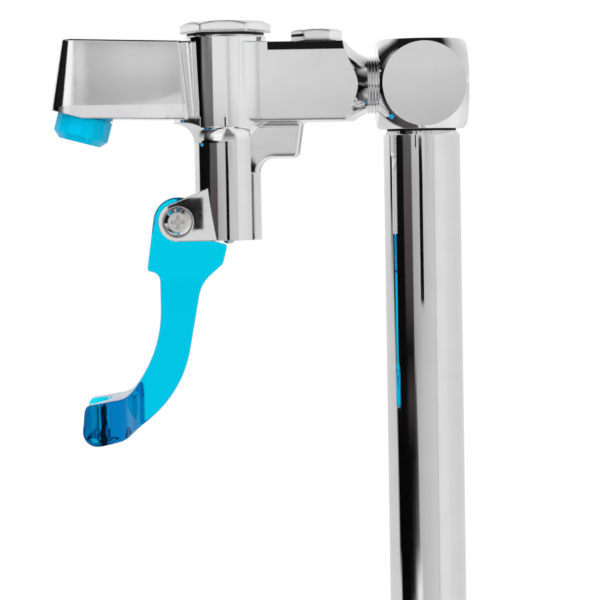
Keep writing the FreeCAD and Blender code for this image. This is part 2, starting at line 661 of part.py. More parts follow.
def make_boss():
    """The boss that carries the feed from the arm down to the barrel."""
    half = size("boss_depth") / 2
    bottom = arm_floor - size("boss_drop")
    left = valve_x + size("boss_left")
    right = valve_x + size("boss_right")
    lean = size("boss_lean")
    sweep = size("boss_sweep")
    root = V(valve_x + 4, 0, bottom - sweep)
    edges = [Part.makeLine(V(valve_x + 4, 0, arm_floor + 1), V(right + lean, 0, arm_floor + 1)),
             Part.makeLine(V(right + lean, 0, arm_floor + 1), V(right, 0, bottom)),
             Part.makeLine(V(right, 0, bottom), V(left + sweep, 0, bottom)),
             Part.Arc(V(left + sweep, 0, bottom),
                      V(left + sweep * (1 - math.sqrt(0.5)), 0, bottom - sweep * (1 - math.sqrt(0.5))),
                      V(left, 0, bottom - sweep)).toShape(),
             Part.makeLine(V(left, 0, bottom - sweep), root),
             Part.makeLine(root, V(valve_x + 4, 0, arm_floor + 1))]
    boss = side_plate(edges, half)
    edge_radius = size("boss_edge")
    upright = [edge for edge in boss.Edges
               if edge.CenterOfMass.x > right
               and abs(edge.CenterOfMass.z - (arm_floor + bottom + 1) / 2) < 0.1]
    boss = boss.makeFillet(edge_radius, upright)
    lower = [edge for edge in boss.Edges
             if left + 0.1 < edge.CenterOfMass.x and edge.BoundBox.ZMax < bottom + 0.01
             and edge.BoundBox.ZMax > bottom - sweep - 0.01]
    return boss.makeFillet(edge_radius * 0.9, lower)


def join_boss(arm, boss):
    """The arm with its boss, and a hollow corner along the boss's front and back."""
    joined = arm.fuse(boss).removeSplitter()
    half = size("boss_depth") / 2
    corners = [edge for edge in joined.Edges
               if abs(edge.CenterOfMass.z - arm_floor) < 0.01
               and abs(abs(edge.CenterOfMass.y) - half) < 0.01
               and edge.CenterOfMass.x > valve_x + size("boss_left") - 4]
    return joined.makeFillet(size("boss_cove"), corners)


def make_ears():
    """Two clevis ears, as one tapered plate that the lever's slot then parts."""
    radius = size("ear_radius")
    slope = math.radians(size("ear_slope"))
    tangent = pivot + V(-math.sin(slope), 0, math.cos(slope)) * radius
    run = (valve_x - 2 - tangent.x) / math.cos(slope)
    shoulder = tangent + V(math.cos(slope), 0, math.sin(slope)) * run
    foot = V(pivot.x, 0, barrel_end)
    turn = math.radians(225)
    edges = [Part.Arc(tangent, pivot + V(math.cos(turn - 0.6), 0, math.sin(turn - 0.6)) * radius,
                      foot).toShape(),
             Part.makeLine(foot, V(shoulder.x, 0, barrel_end)),
             Part.makeLine(V(shoulder.x, 0, barrel_end), shoulder),
             Part.makeLine(shoulder, tangent)]
    plate = side_plate(edges, 20)
    low = size("ear_half_low")
    tall = shoulder.z - barrel_end + 2
    high = low - tall * math.tan(math.radians(size("ear_draft")))
    left = pivot.x - radius - 2
    taper = prism([V(left, -low, barrel_end), V(left, low, barrel_end),
                   V(left, high, barrel_end + tall), V(left, -high, barrel_end + tall)],
                  V(shoulder.x - left + 1, 0, 0))
    return plate.common(taper)


def waterways():
    """Every bore of the casting."""
    seat_bore = size("seat_dia") / 2 + size("thread_fit")
    seat_foot = seat_top - size("seat_lip") - size("seat_tall")
    guide_top = barrel_end + size("slot_tall") + size("guide_tall")
    chamber = size("outlet_chamber_dia") / 2 + size("thread_fit")
    plug_x = -size("plug_reach")
    feed_x = valve_x + size("boss_right") - size("feed_dia") / 2 - 2.2
    feed_z = arm_floor - size("boss_drop") + size("feed_dia") / 2 + 2
    seat, down = nozzle_frame()
    collar = size("nozzle_collar")
    spout_z = arm_z + size("spout_bore_rise")
    fit = size("nozzle_fit")
    collar_radius = size("nozzle_flats") / 2 / math.cos(math.pi / 14) + fit
    return [
        rod(V(valve_x, 0, barrel_end - 1), Z_AXIS, size("barrel_bore") / 2, guide_top - barrel_end + 1),
        rod(V(valve_x, 0, guide_top - 1), Z_AXIS, size("inlet_chamber_dia") / 2,
            seat_foot - guide_top + 2),
        rod(V(valve_x, 0, seat_foot), Z_AXIS, seat_bore, arm_floor - seat_foot + 1),
        rod(V(valve_x, 0, arm_floor + 1), Z_AXIS, chamber, drum_top - arm_floor),
        rod(V(arm_end_x + 20, 0, arm_z), V(-1, 0, 0), size("inlet_bore") / 2,
            arm_end_x + 20 - feed_x + size("feed_dia") / 2),
        rod(V(feed_x, 0, feed_z), Z_AXIS, size("feed_dia") / 2, arm_z - feed_z),
        rod(V(feed_x, 0, feed_z), V(-1, 0, 0), size("feed_dia") / 2, feed_x - valve_x),
        rod(V(plug_x, 0, arm_z), Z_AXIS, size("plug_thread_dia") / 2 + size("thread_fit"),
            size("arm_rise") + 1),
        rod(V(valve_x, 0, spout_z), V(-1, 0, 0), size("spout_bore") / 2, size("nozzle_reach") - 3),
        rod(seat - down * collar, down, collar_radius, collar + 12),
        rod(seat - down * (collar + size("nozzle_spigot_long") + 0.5), down,
            size("nozzle_spigot_dia") / 2 + fit, size("nozzle_spigot_long") + 1),
    ]


def clevis_cuts():
    """The lever's slot, the screw's holes and its spot faces."""
    gap = size("ear_gap") / 2
    slot = box_between(V(pivot.x - 20, -gap, barrel_end - 1),
                       V(valve_x, gap, barrel_end + size("slot_tall")))
    far = size("ear_half_low") + 2
    clear = size("screw_dia") / 2 + size("running_fit")
    flat = size("ear_flat_half")
    holes = [rod(V(pivot.x, -far, pivot.z), Y_AXIS, clear, 2 * far)]
    for side in (-1, 1):
        holes.append(rod(V(pivot.x, side * flat, pivot.z), V(0, side, 0), size("ear_flat_dia") / 2, 4))
    return [slot] + holes


def make_valve_body():
    drum = rod(V(valve_x, 0, arm_floor), Z_AXIS, size("drum_dia") / 2, drum_top - arm_floor)
    rim = [edge for edge in drum.Edges if abs(edge.CenterOfMass.z - drum_top) < 0.01]
    drum = drum.makeChamfer(size("drum_chamfer"), rim)
    casting = drum.fuse([join_boss(make_arm(), make_boss()), make_spout(), make_barrel(),
                         make_ears()])
    casting = casting.cut(waterways() + clevis_cuts()).removeSplitter()
    solids = casting.Solids
    solids.sort(key=lambda solid: solid.Volume)
    return keep("valve_body", solids[-1])


def keep(label, shape):
    """Store a finished shape as a sub-part of its own."""
    part = doc.addObject("Part::Feature", label)
    part.Label = label
    part.Shape = shape
    return part


# Cap nut, service plug and their seals

def headed_plug(label, flats, head_tall, thread, thread_long, pocket=None):
    """A hexagon head with its thread below, standing on the head's underside."""
    body = new_body(label)
    polygon_into(body, 6, flats, head_tall, offset=0)
    turn_into(body, [("0", "-" + thread_long), (thread + " - 0.6", "-" + thread_long),
                     (thread, "-%s + 0.6" % thread_long), (thread, "0.2"), ("0", "0.2")], "thread")
    chamfer_head(body, flats, head_tall)
    if pocket is not None:
        radius, deep = pocket
        floor = "-%s + %s" % (thread_long, deep)
        turn_into(body, [("0", "-%s - 1" % thread_long), (radius, "-%s - 1" % thread_long),
                         (radius, floor), ("0", floor)], "pocket", cut=True)
    return body


def make_closures():
    cap = headed_plug("cap_nut", "cap_flats", "cap_tall", "outlet_chamber_dia / 2",
                      "cap_spigot_long", ("cap_pocket_dia / 2", "cap_pocket_deep"))
    put(cap, VALVE_X, "0", DRUM_TOP + " + cap_gasket_thick",
        turn=FreeCAD.Rotation(Z_AXIS, -size("cap_turn")))
    gasket = washer("cap_gasket", "outlet_chamber_dia / 2 + 0.1", "drum_dia / 2 - drum_chamfer",
                    "cap_gasket_thick")
    put(gasket, VALVE_X, "0", DRUM_TOP)

    plug = headed_plug("service_plug", "plug_flats", "plug_tall", "plug_thread_dia / 2",
                       "plug_thread_long")
    plug_z = "riser_tall + elbow_size / 2 + arm_rise"
    put(plug, "-plug_reach", "0", plug_z + " + plug_washer_thick")
    ring = washer("plug_washer", "plug_thread_dia / 2 + 0.1", "plug_flats / 2 - 0.8",
                  "plug_washer_thick")
    put(ring, "-plug_reach", "0", plug_z)


# Stem, valve disc, seat, guide and spring

def make_stem_group():
    foot = stem_foot_z()
    collar = seat_top + size("disc_thick")
    stem = new_body("valve_stem")
    turn_into(stem, [
        ("0", "0"),
        ("stem_dia / 2", "0"),
        ("stem_dia / 2", "%.4f" % (collar - foot)),
        ("stem_collar_dia / 2", "%.4f" % (collar - foot)),
        ("stem_collar_dia / 2", "%.4f + stem_collar_tall" % (collar - foot)),
        ("stem_pilot_dia / 2", "%.4f + stem_collar_tall" % (collar - foot)),
        ("stem_pilot_dia / 2", "%.4f + stem_collar_tall + stem_pilot_tall" % (collar - foot)),
        ("0", "%.4f + stem_collar_tall + stem_pilot_tall" % (collar - foot)),
    ])
    round_rims(stem, [(size("stem_dia") / 2, 0)], "stem_dia / 2 * 0.96")
    put(stem, VALVE_X, "0", "%.4f" % foot)

    disc = washer("valve_disc", "stem_dia / 2", "stem_collar_dia / 2", "disc_thick")
    put(disc, VALVE_X, "0", SEAT_TOP)
    clip = washer("disc_clip", "stem_dia / 2", "clip_dia / 2", "clip_thick")
    put(clip, VALVE_X, "0", SEAT_TOP + " - clip_thick")

    seat = turned("seat_ring", [
        ("seat_hole / 2", "0"),
        ("seat_dia / 2", "0"),
        ("seat_dia / 2", "seat_tall"),
        ("seat_hole / 2 + 1.6", "seat_tall"),
        ("seat_hole / 2 + 0.6", "seat_tall + seat_lip"),
        ("seat_hole / 2", "seat_tall + seat_lip"),
    ])
    put(seat, VALVE_X, "0", SEAT_TOP + " - seat_lip - seat_tall")

    guide = turned("stem_guide", [
        ("stem_dia / 2 + running_fit", "0"),
        ("barrel_bore / 2 - thread_fit", "0"),
        ("barrel_bore / 2 - thread_fit", "guide_tall"),
        ("guide_groove_dia / 2", "guide_tall"),
        ("guide_groove_dia / 2", "guide_tall - guide_groove_tall"),
        ("stem_dia / 2 + running_fit", "guide_tall - guide_groove_tall"),
    ])
    put(guide, VALVE_X, "0", GUIDE_FOOT)
    seal = washer("stem_seal", "stem_dia / 2 + running_fit", "guide_groove_dia / 2",
                  "guide_groove_tall - 0.2")
    put(seal, VALVE_X, "0", GUIDE_FOOT + " + guide_tall - guide_groove_tall")


def tail_corner():
    """The lever tail's upper corner, which lifts the stem."""
    return pivot + V(TAIL_TIP[0], 0, TAIL_TIP[1])


def stem_foot_z():
    """Lowest point of the stem's rounded foot, standing on the tail's corner."""
    corner = tail_corner()
    radius = size("stem_dia") / 2
    reach = radius + size("seat_gap")
    offset = valve_x - corner.x
    return corner.z + math.sqrt(reach ** 2 - offset ** 2) - radius


def make_spring():
    """Compression spring between the stem's collar and the cap nut's pocket."""
    wire = size("spring_wire")
    low = seat_top + size("disc_thick") + size("stem_collar_tall")
    cap_foot = drum_top + size("cap_gasket_thick") - size("cap_spigot_long")
    high = cap_foot + size("cap_pocket_deep")
    foot = low + wire / 2 + 0.02
    rise = high - wire / 2 - 0.02 - foot
    radius = size("spring_dia") / 2
    path = Part.makeHelix(rise / size("spring_turns"), rise, radius)
    corners = [V(radius + wire / 2 * math.cos(math.pi * (step + 0.5) / 3), 0,
                 wire / 2 * math.sin(math.pi * (step + 0.5) / 3)) for step in range(6)]
    section = Part.makePolygon(corners + [corners[0]])
    spring = Part.Wire(path.Edges).makePipeShell([section], True, True)
    spring.translate(V(valve_x, 0, foot))
    keep("valve_spring", spring)


# Nozzle

def make_nozzle():
    body = new_body("nozzle")
    polygon_into(body, 14, "nozzle_flats", "nozzle_below + nozzle_groove_at")
    tall = "nozzle_below + nozzle_groove_at"
    rim = "nozzle_flats / 2"
    turn_into(body, [(rim + " - nozzle_chamfer", tall + " + 0.001"),
                     (rim + " + 1", tall + " + 0.001"),
                     (rim + " + 1", tall + " - nozzle_chamfer - 1")], "chamfer", cut=True)
    groove_top = "-nozzle_groove_wide"
    collar_top = "-nozzle_collar + nozzle_groove_at"
    spigot_top = collar_top + " - nozzle_spigot_long"
    spigot = "nozzle_spigot_dia / 2"
    turn_into(body, [("0", "0.1"), (rim + " - nozzle_groove_deep", "0.1"),
                     (rim + " - nozzle_groove_deep", groove_top), (rim, groove_top),
                     (rim, collar_top), (spigot, collar_top), (spigot, spigot_top),
                     ("0", spigot_top)], "collar")
    recess = "nozzle_bore / 2 + 1"
    screen_floor = tall + " - screen_inset - screen_thick"
    turn_into(body, [("0", spigot_top + " - 1"), ("nozzle_bore / 2", spigot_top + " - 1"),
                     ("nozzle_bore / 2", screen_floor), (recess, screen_floor),
                     (recess, tall + " + 1"), ("0", tall + " + 1")], "bore", cut=True)
    seat, down = nozzle_frame()
    point_down = FreeCAD.Rotation(Z_AXIS, down)
    body.Placement = FreeCAD.Placement(seat - down * size("nozzle_groove_at"), point_down)
    make_screen(seat, down)


def make_screen(seat, down):
    """The disc with six-sided cells in the nozzle's outlet."""
    recess_radius = size("nozzle_bore") / 2 + 1
    thick = size("screen_thick")
    screen = Part.makeCylinder(recess_radius, thick)
    corner = size("screen_cell") / math.sqrt(3)
    pitch = size("screen_cell") * 1.4
    cell = [V(corner * math.cos(math.radians(60 * step)), corner * math.sin(math.radians(60 * step)), -1)
            for step in range(6)]
    across, aslant = V(0, pitch, 0), V(pitch * math.sqrt(0.75), pitch / 2, 0)
    for row in range(-2, 3):
        for column in range(-2, 3):
            if abs(row + column) <= 2:
                centre = across * column + aslant * row
                screen = screen.cut(prism([centre + point for point in cell], V(0, 0, thick + 2)))
    part = keep("flow_straightener", screen)
    foot = seat + down * (size("nozzle_below") - size("screen_inset") - thick)
    part.Placement = FreeCAD.Placement(foot, FreeCAD.Rotation(Z_AXIS, down))


# Lever, on its own bush and screw

# The lever seen from the front: corners in millimetres from its pivot, each with the
# radius that rounds it. They run from the head down the front, round the fork's tip,
# up the back and out to the end of the tail.
LEVER_SIDE = [
    (-11.1, -17.1, 0.9),
    (-6.6, -17.5, 3.2),
    (-6.6, -45.6, 44.0),
    (-18.4, -60.2, 8.0),
    (-33.0, -62.4, 2.6),
    (-34.7, -78.2, 5.2),
    (-19.2, -74.8, 10.0),
    (0.7, -59.2, 40.0),
    (7.7, -21.6, 12.0),
    (15.4, -14.9, 1.2),
    (17.1, -8.3, 0.3),
]
# Plan of one half of the grip and fork: distance from the pivot, half width, radius
FORK_FLARE = [(-14.6, 4.0), (-19.6, 4.5)]
FORK_TIP_X = -36.0
TAIL_TIP = (17.1, -8.3)
# Slope of the tail's upper side, degrees
LEVER_TAIL_SLOPE = 15.6


def rounded_wire(corners):
    """Straight lines between the corners, each corner rounded by its own radius."""
    count = len(corners)
    points = [corner[0] for corner in corners]
    starts, edges = [], []
    arcs = []
    for step in range(count):
        here, radius = corners[step]
        back = (points[step - 1] - here).normalize()
        ahead = (points[(step + 1) % count] - here).normalize()
        if radius <= 0:
            arcs.append((here, None, here))
            continue
        half_angle = back.getAngle(ahead) / 2
        reach = radius / math.tan(half_angle)
        middle = (back + ahead).normalize()
        bend = here + middle * (radius / math.sin(half_angle) - radius)
        arcs.append((here + back * reach, bend, here + ahead * reach))
    for step in range(count):
        first, bend, last = arcs[step]
        if bend is not None:
            edges.append(Part.Arc(first, bend, last).toShape())
        following = arcs[(step + 1) % count][0]
        if last.distanceToPoint(following) > 1e-6:
            edges.append(Part.makeLine(last, following))
    return Part.Wire(edges)


def at_pivot(point):
    return pivot + V(point[0], 0, point[1])


def lever_side():
    """Outline of grip, fork and tail, closed behind the head's disc."""
    corners = [(at_pivot(corner[:2]), corner[2]) for corner in LEVER_SIDE]
    head = size("lever_head")
    heel = at_pivot(LEVER_SIDE[0][:2])
    span = pivot - heel
    turn = math.asin(head / span.Length)
    aim = math.atan2(span.z, span.x) + turn
    reach = math.sqrt(span.Length ** 2 - head ** 2)
    tangent = heel + V(math.cos(aim), 0, math.sin(aim)) * reach
    slope = math.radians(LEVER_TAIL_SLOPE)
    tip = at_pivot(TAIL_TIP)
    shoulder = tip + V(-math.cos(slope), 0, math.sin(slope)) * TAIL_TIP[0]
    corners += [(shoulder, 0), (pivot, 0), (tangent, 0)]
    return rounded_wire(corners)


def fork_plan():
    """Plan of grip and fork: a narrow grip that flares into two prongs."""
    grip = size("arm_thick") / 2
    wide = size("fork_wide") / 2
    level = pivot.z - 100
    right = pivot.x + 30
    tip = pivot.x + FORK_TIP_X
    inner, outer = FORK_FLARE

    def at(x, y):
        return V(x, y, level)

    corners = [(at(right, -grip), 0), (at(right, grip), 0),
               (at(pivot.x + inner[0], grip), inner[1]), (at(pivot.x + outer[0], wide), outer[1]),
               (at(tip, wide), 0), (at(tip, -wide), 0),
               (at(pivot.x + outer[0], -wide), outer[1]), (at(pivot.x + inner[0], -grip), inner[1])]
    return Part.Face(rounded_wire(corners))


def fork_notch():
    """The round notch between the prongs, open to the front."""
    mouth_x = pivot.x + LEVER_SIDE[5][0]
    deep = size("fork_notch_deep")
    half = size("fork_notch_wide") / 2
    radius = (half ** 2 + deep ** 2) / (2 * deep)
    centre = V(mouth_x + deep - radius, 0, pivot.z - 100)
    return rod(centre, Z_AXIS, radius, 60)


def make_lever():
    side = Part.Face(lever_side())
    side.translate(V(0, -size("fork_wide"), 0))
    body = side.extrude(V(0, 2 * size("fork_wide"), 0))
    head = rod(V(pivot.x, -size("fork_wide"), pivot.z), Y_AXIS, size("lever_head"),
               2 * size("fork_wide"))
    body = body.fuse(head).removeSplitter()
    lever = body.common(fork_plan().extrude(V(0, 0, 130)))
    lever = lever.cut(fork_notch())
    # Between the ears the head is thinner than the grip
    thin = size("lever_thick") / 2
    shoulder = pivot.z - size("lever_shoulder")
    for sign in (-1, 1):
        low, high = sorted((sign * thin, sign * 30))
        lever = lever.cut(box_between(V(pivot.x - 40, low, shoulder), V(pivot.x + 40, high, pivot.z + 30)))
    bore = size("bush_dia") / 2 + size("running_fit")
    lever = lever.cut(rod(V(pivot.x, -20, pivot.z), Y_AXIS, bore, 40))
    keep("push_lever", lever)


def make_pivot():
    """The bush between the ears and the cross-recess screw through it."""
    from_front = FreeCAD.Rotation(X_AXIS, -90)
    pivot_x = "-valve_reach - pivot_reach"
    pivot_z = BARREL_END + " + ear_radius"
    bush = washer("pivot_bush", "screw_dia / 2 + running_fit", "bush_dia / 2", "ear_gap")
    put(bush, pivot_x, "-ear_gap / 2", pivot_z, turn=from_front)

    screw = new_body("pivot_screw")
    turn_into(screw, [
        ("0", "-screw_head_tall"),
        ("screw_face_dia / 2", "-screw_head_tall"),
        ("screw_head_dia / 2 - 0.15", "-0.9"),
        ("screw_head_dia / 2", "-0.6"),
        ("screw_head_dia / 2", "0"),
        ("screw_dia / 2", "0"),
        ("screw_dia / 2", "2 * ear_flat_half - 0.6"),
        ("screw_dia / 2 - 0.5", "2 * ear_flat_half - 0.1"),
        ("0", "2 * ear_flat_half - 0.1"),
    ])
    for number, (long_way, wide_way) in enumerate((("recess_long", "recess_wide"),
                                                   ("recess_wide", "recess_long"))):
        half_x, half_y = long_way + " / 2", wide_way + " / 2"
        sketch = outline(screw, "pivot_screw_blade%d" % number, "XY_Plane",
                         [("-" + half_x, "-" + half_y), (half_x, "-" + half_y),
                          (half_x, half_y), ("-" + half_x, half_y)])
        sketch.setExpression("AttachmentOffset.Base.z", bound("-screw_head_tall + recess_deep"))
        pocket = screw.newObject("PartDesign::Pocket", "pivot_screw_recess%d" % number)
        pocket.Profile = sketch
        pocket.setExpression("Length", bound("recess_deep + 1"))
        pocket.Reversed = False
        screw.Tip = pocket
    put(screw, pivot_x, "-ear_flat_half", pivot_z, turn=from_front)


NODES = [
    "flange_gasket", "deck_flange", "inlet_shank", "deck_washer", "lock_nut",
    "riser_tube", "riser_washer", "elbow_body", "valve_body",
    "cap_nut", "cap_gasket", "service_plug", "plug_washer",
    "valve_stem", "valve_disc", "disc_clip", "seat_ring", "stem_guide", "stem_seal",
    "valve_spring", "nozzle", "flow_straightener",
    "push_lever", "pivot_bush", "pivot_screw",
]


def export():
    """Check every object, then write one STEP file for each sub-part."""
    doc.recompute()
    for item in doc.Objects:
        if "Invalid" in item.State or "Error" in item.State:
            raise RuntimeError("failed: " + item.Label)
    parts = {item.Label: item for item in doc.Objects if item.Label in NODES}
    for name in NODES:
        shape = parts[name].Shape
        if shape.isNull() or not shape.isValid():
            raise RuntimeError("bad shape: " + name)
    os.makedirs("parts", exist_ok=True)
    for name in NODES:
        parts[name].Shape.exportStep("parts/%s.step" % name)
        print("%-18s %9.1f mm3" % (name, parts[name].Shape.Volume))


make_deck_fitting()
make_riser()
make_elbow()
make_valve_body()
make_closures()
make_stem_group()
make_spring()
make_nozzle()
make_lever()
make_pivot()
export()
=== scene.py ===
"""Finishes, threads, spring and studio of a glass filler faucet, laid out as an add-on."""

import math

import bmesh
import bpy
from bpy.props import FloatProperty, FloatVectorProperty, IntProperty, PointerProperty
from mathutils import Matrix, Vector


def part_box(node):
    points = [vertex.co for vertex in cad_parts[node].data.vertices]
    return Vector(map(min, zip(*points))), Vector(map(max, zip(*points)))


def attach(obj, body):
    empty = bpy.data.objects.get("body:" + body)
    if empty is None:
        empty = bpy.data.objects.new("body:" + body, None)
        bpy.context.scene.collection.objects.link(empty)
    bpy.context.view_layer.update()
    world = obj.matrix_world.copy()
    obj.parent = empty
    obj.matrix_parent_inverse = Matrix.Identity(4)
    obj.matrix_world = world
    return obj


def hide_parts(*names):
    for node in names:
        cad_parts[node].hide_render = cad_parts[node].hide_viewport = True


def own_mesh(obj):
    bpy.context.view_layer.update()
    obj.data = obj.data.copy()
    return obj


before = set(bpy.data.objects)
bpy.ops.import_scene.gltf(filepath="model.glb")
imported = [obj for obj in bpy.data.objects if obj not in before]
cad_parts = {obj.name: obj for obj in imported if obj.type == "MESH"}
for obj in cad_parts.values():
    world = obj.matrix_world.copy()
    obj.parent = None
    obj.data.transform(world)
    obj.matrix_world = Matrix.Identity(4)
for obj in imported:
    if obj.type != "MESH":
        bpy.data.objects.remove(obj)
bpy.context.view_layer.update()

bl_info = {
    "name": "Glass Filler Faucet",
    "version": (1, 0, 0),
    "blender": (4, 5, 0),
    "location": "3D View > Sidebar > Faucet",
    "description": "Finishes, threads, spring and studio of a glass filler faucet",
    "category": "Object",
}

MM = 0.001
ARM_AXIS_Z = (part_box("elbow_body")[0][2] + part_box("elbow_body")[1][2]) / 2
VALVE_AXIS_X = (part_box("seat_ring")[0][0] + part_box("seat_ring")[1][0]) / 2

# Fixed sizes of the threads and the spring
AROUND = 72  # points in each ring of a thread
NECK_BORE = 9.2 * MM
NECK_OUT = 3.7 * MM  # how far the neck's thread runs out of the elbow
NECK_IN = 0.2 * MM  # and how far into it
NECK_ROWS = 46
SHANK_BORE = 6.5 * MM
SHANK_GROOVE = (13.5 * MM, 15.0 * MM)  # up from the shank's free end
GROOVE_DEPTH = 0.8 * MM
SHANK_CHAMFER = 1.0 * MM
SHANK_ROWS = 340
WIRE_SIDES = 14
STEPS_A_TURN = 40
FLAT_TURN = 0.75  # share of a turn that lies flat at each end of the spring
END_CLIMB = 0.35 * MM  # what the flat turns climb in all

# How the plate's greys are turned to light
GAMMA = 2.2
PLATE_SHARE = 0.9  # share of the light that the plate gives back
BROWN_GREYS = (0.14, 0.33)
BROWN = (1.2, 1.0, 1.06)

# Where painted shade darkens the clear lever's prong: along the arm from its tip, across and
# upwards
PAINTED_SHADE_LONG = 11 * MM
PAINTED_SHADE_FRONT = (-3 * MM, -1 * MM)
PAINTED_SHADE_TOP = (120 * MM, 124 * MM)

# The studio
FLOOR_X = -0.06
FLOOR_RINGS = (0.25, 0.5, 0.75)  # shares of the floor's radius
FLOOR_FADE = (0.55, 0.95)  # shares of it between which the shading fades out
FLOOR_SHADE = (0.36, 0.36, 0.36, 1)
FLOOR_GLOW = 0.66
DULL_ROOM = (0.82, 0.82, 0.83, 1)  # what dull surfaces see of the room
DARK_BACKDROP = (0.34, 0.34, 0.36, 1)  # what clear plastic shows aslant
BACKDROP_EDGE = (0.5, 0.86)  # share of a ray's way along X or Y, from dark to white
WHITE = (1, 1, 1, 1)
LAMP_AIM = (-0.06, 0, 0.12)
LAMPS = (  # name, place and size in metres, watts
    ("overhead", (-0.2, -0.25, 0.95), 0.7, 5.0),
    ("facing", (-0.2, -0.92, 0.5), 0.6, 3.0),
)


# Sizes and colours that can be set

def tint(label, text, value):
    """A colour setting."""
    return FloatVectorProperty(name=label, description=text, subtype="COLOR", size=3,
                               min=0, max=1, default=value)


def share(label, text, value):
    """A setting from nought to one."""
    return FloatProperty(name=label, description=text, subtype="FACTOR", min=0, max=1,
                         default=value)


def length(label, text, value):
    """A length setting, given in metres."""
    return FloatProperty(name=label, description=text, subtype="DISTANCE", unit="LENGTH",
                         min=0, default=value)


def angle(label, text, degrees):
    """An angle setting, given in degrees."""
    return FloatProperty(name=label, description=text, subtype="ANGLE", unit="ROTATION",
                         default=math.radians(degrees))


class MetalSettings(bpy.types.PropertyGroup):
    """Plate, brass and steel."""
    plate: tint("Plate", "Colour of the polished plate", (0.89, 0.89, 0.895))
    plate_roughness: share("Plate roughness", "How far the buffed plate scatters light", 0.03)
    cast_edge: length("Cast edge", "Rounding that buffing leaves on the casting", 0.5 * MM)
    turned_edge: length("Turned edge", "Rounding that buffing leaves on the elbow", 0.25 * MM)
    nut_edge: length("Nut edge", "Rounding of the hexagon heads' edges", 1.4 * MM)
    brass: tint("Brass", "Colour of the turned brass", (0.70, 0.52, 0.25))
    steel: tint("Steel", "Colour of the stainless steel", (0.60, 0.60, 0.60))
    screw: tint("Screw", "Colour of the bright pivot screw", (0.88, 0.87, 0.86))
    screw_face: length("Screw face", "Radius of the flat on the pivot screw's head", 3.4 * MM)


class PlasticSettings(bpy.types.PropertyGroup):
    """The clear and the cloudy blue plastic, the acetal and the rubber."""
    passed: tint("Passed light", "Light that the blue plastic lets through", (0.0, 0.94, 0.976))
    body: tint("Cloudy body", "Colour of the plastic where it is cloudy", (0.0, 0.57, 0.86))
    # Painted shade: the darker blue mixed into the prong's tip, standing in for the shade that the
    # thick fork shows there
    tip_painted_shade: tint("Deep blue", "Tint of the prong towards its tip", (0.1, 0.22, 0.5))
    fork_tip: FloatProperty(name="Fork tip", description="Where the prong ends along the arm",
                            subtype="DISTANCE", unit="LENGTH", default=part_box("push_lever")[0][0])
    nozzle_cloud: share("Nozzle cloud", "How cloudy the nozzle's plastic is", 0.75)
    density: FloatProperty(name="Depth of tint", min=0, default=800,
                           description="Absorption for each metre of plastic")
    gloss: tint("Plastic gloss", "Tint of what the blue plastic mirrors", (0.04, 0.35, 0.6))
    refraction: FloatProperty(name="Refraction", description="Index of refraction of the plastic",
                              min=1, default=1.5)
    edge: length("Moulded edge", "Rounding of the lever's edges", 0.9 * MM)
    grain: length("Skin step", "Step of the lever's skin", 0.5 * MM)
    acetal: tint("Acetal", "Colour of the white acetal", (0.85, 0.86, 0.86))
    rubber: tint("Rubber", "Colour of the nitrile rubber", (0.012, 0.012, 0.012))


class ThreadSettings(bpy.types.PropertyGroup):
    """The threads that show and the spring."""
    neck_pitch: length("Neck pitch", "From ridge to ridge between arm and elbow", 1.05 * MM)
    neck_crest: length("Neck crest", "Radius of the neck's thread", 10.0 * MM)
    neck_root: length("Neck root", "Radius under the neck's thread", 9.3 * MM)
    shank_pitch: length("Shank pitch", "From ridge to ridge on the shank", 1.81 * MM)
    shank_crest: length("Shank crest", "Radius of the shank's thread", 10.28 * MM)
    shank_root: length("Shank root", "Radius under the shank's thread", 9.35 * MM)
    spring_turns: IntProperty(name="Spring turns", description="Open turns of the valve spring",
                              min=1, default=5)
    spring_wire: length("Spring wire", "Diameter of the spring's wire", 1.2 * MM)


class StudioSettings(bpy.types.PropertyGroup):
    """Floor and camera."""
    floor_drop: length("Floor drop", "From the deck's surface down to the floor", 58.6 * MM)
    floor_size: length("Floor size", "Radius of the floor", 0.42)
    lens: FloatProperty(name="Lens", description="Focal length of the camera in millimetres",
                        min=1, default=144)
    place: FloatVectorProperty(name="Camera place", description="Where the camera stands",
                               subtype="TRANSLATION", unit="LENGTH", size=3,
                               default=(-0.07247, -0.83981, 0.18907))
    swing: angle("Swing", "Turn of the camera about the upright", -1.969)
    tilt: angle("Tilt", "How far the camera looks down or up", -3.066)
    roll: angle("Roll", "Turn of the camera about its line of sight", 1.013)


# Materials

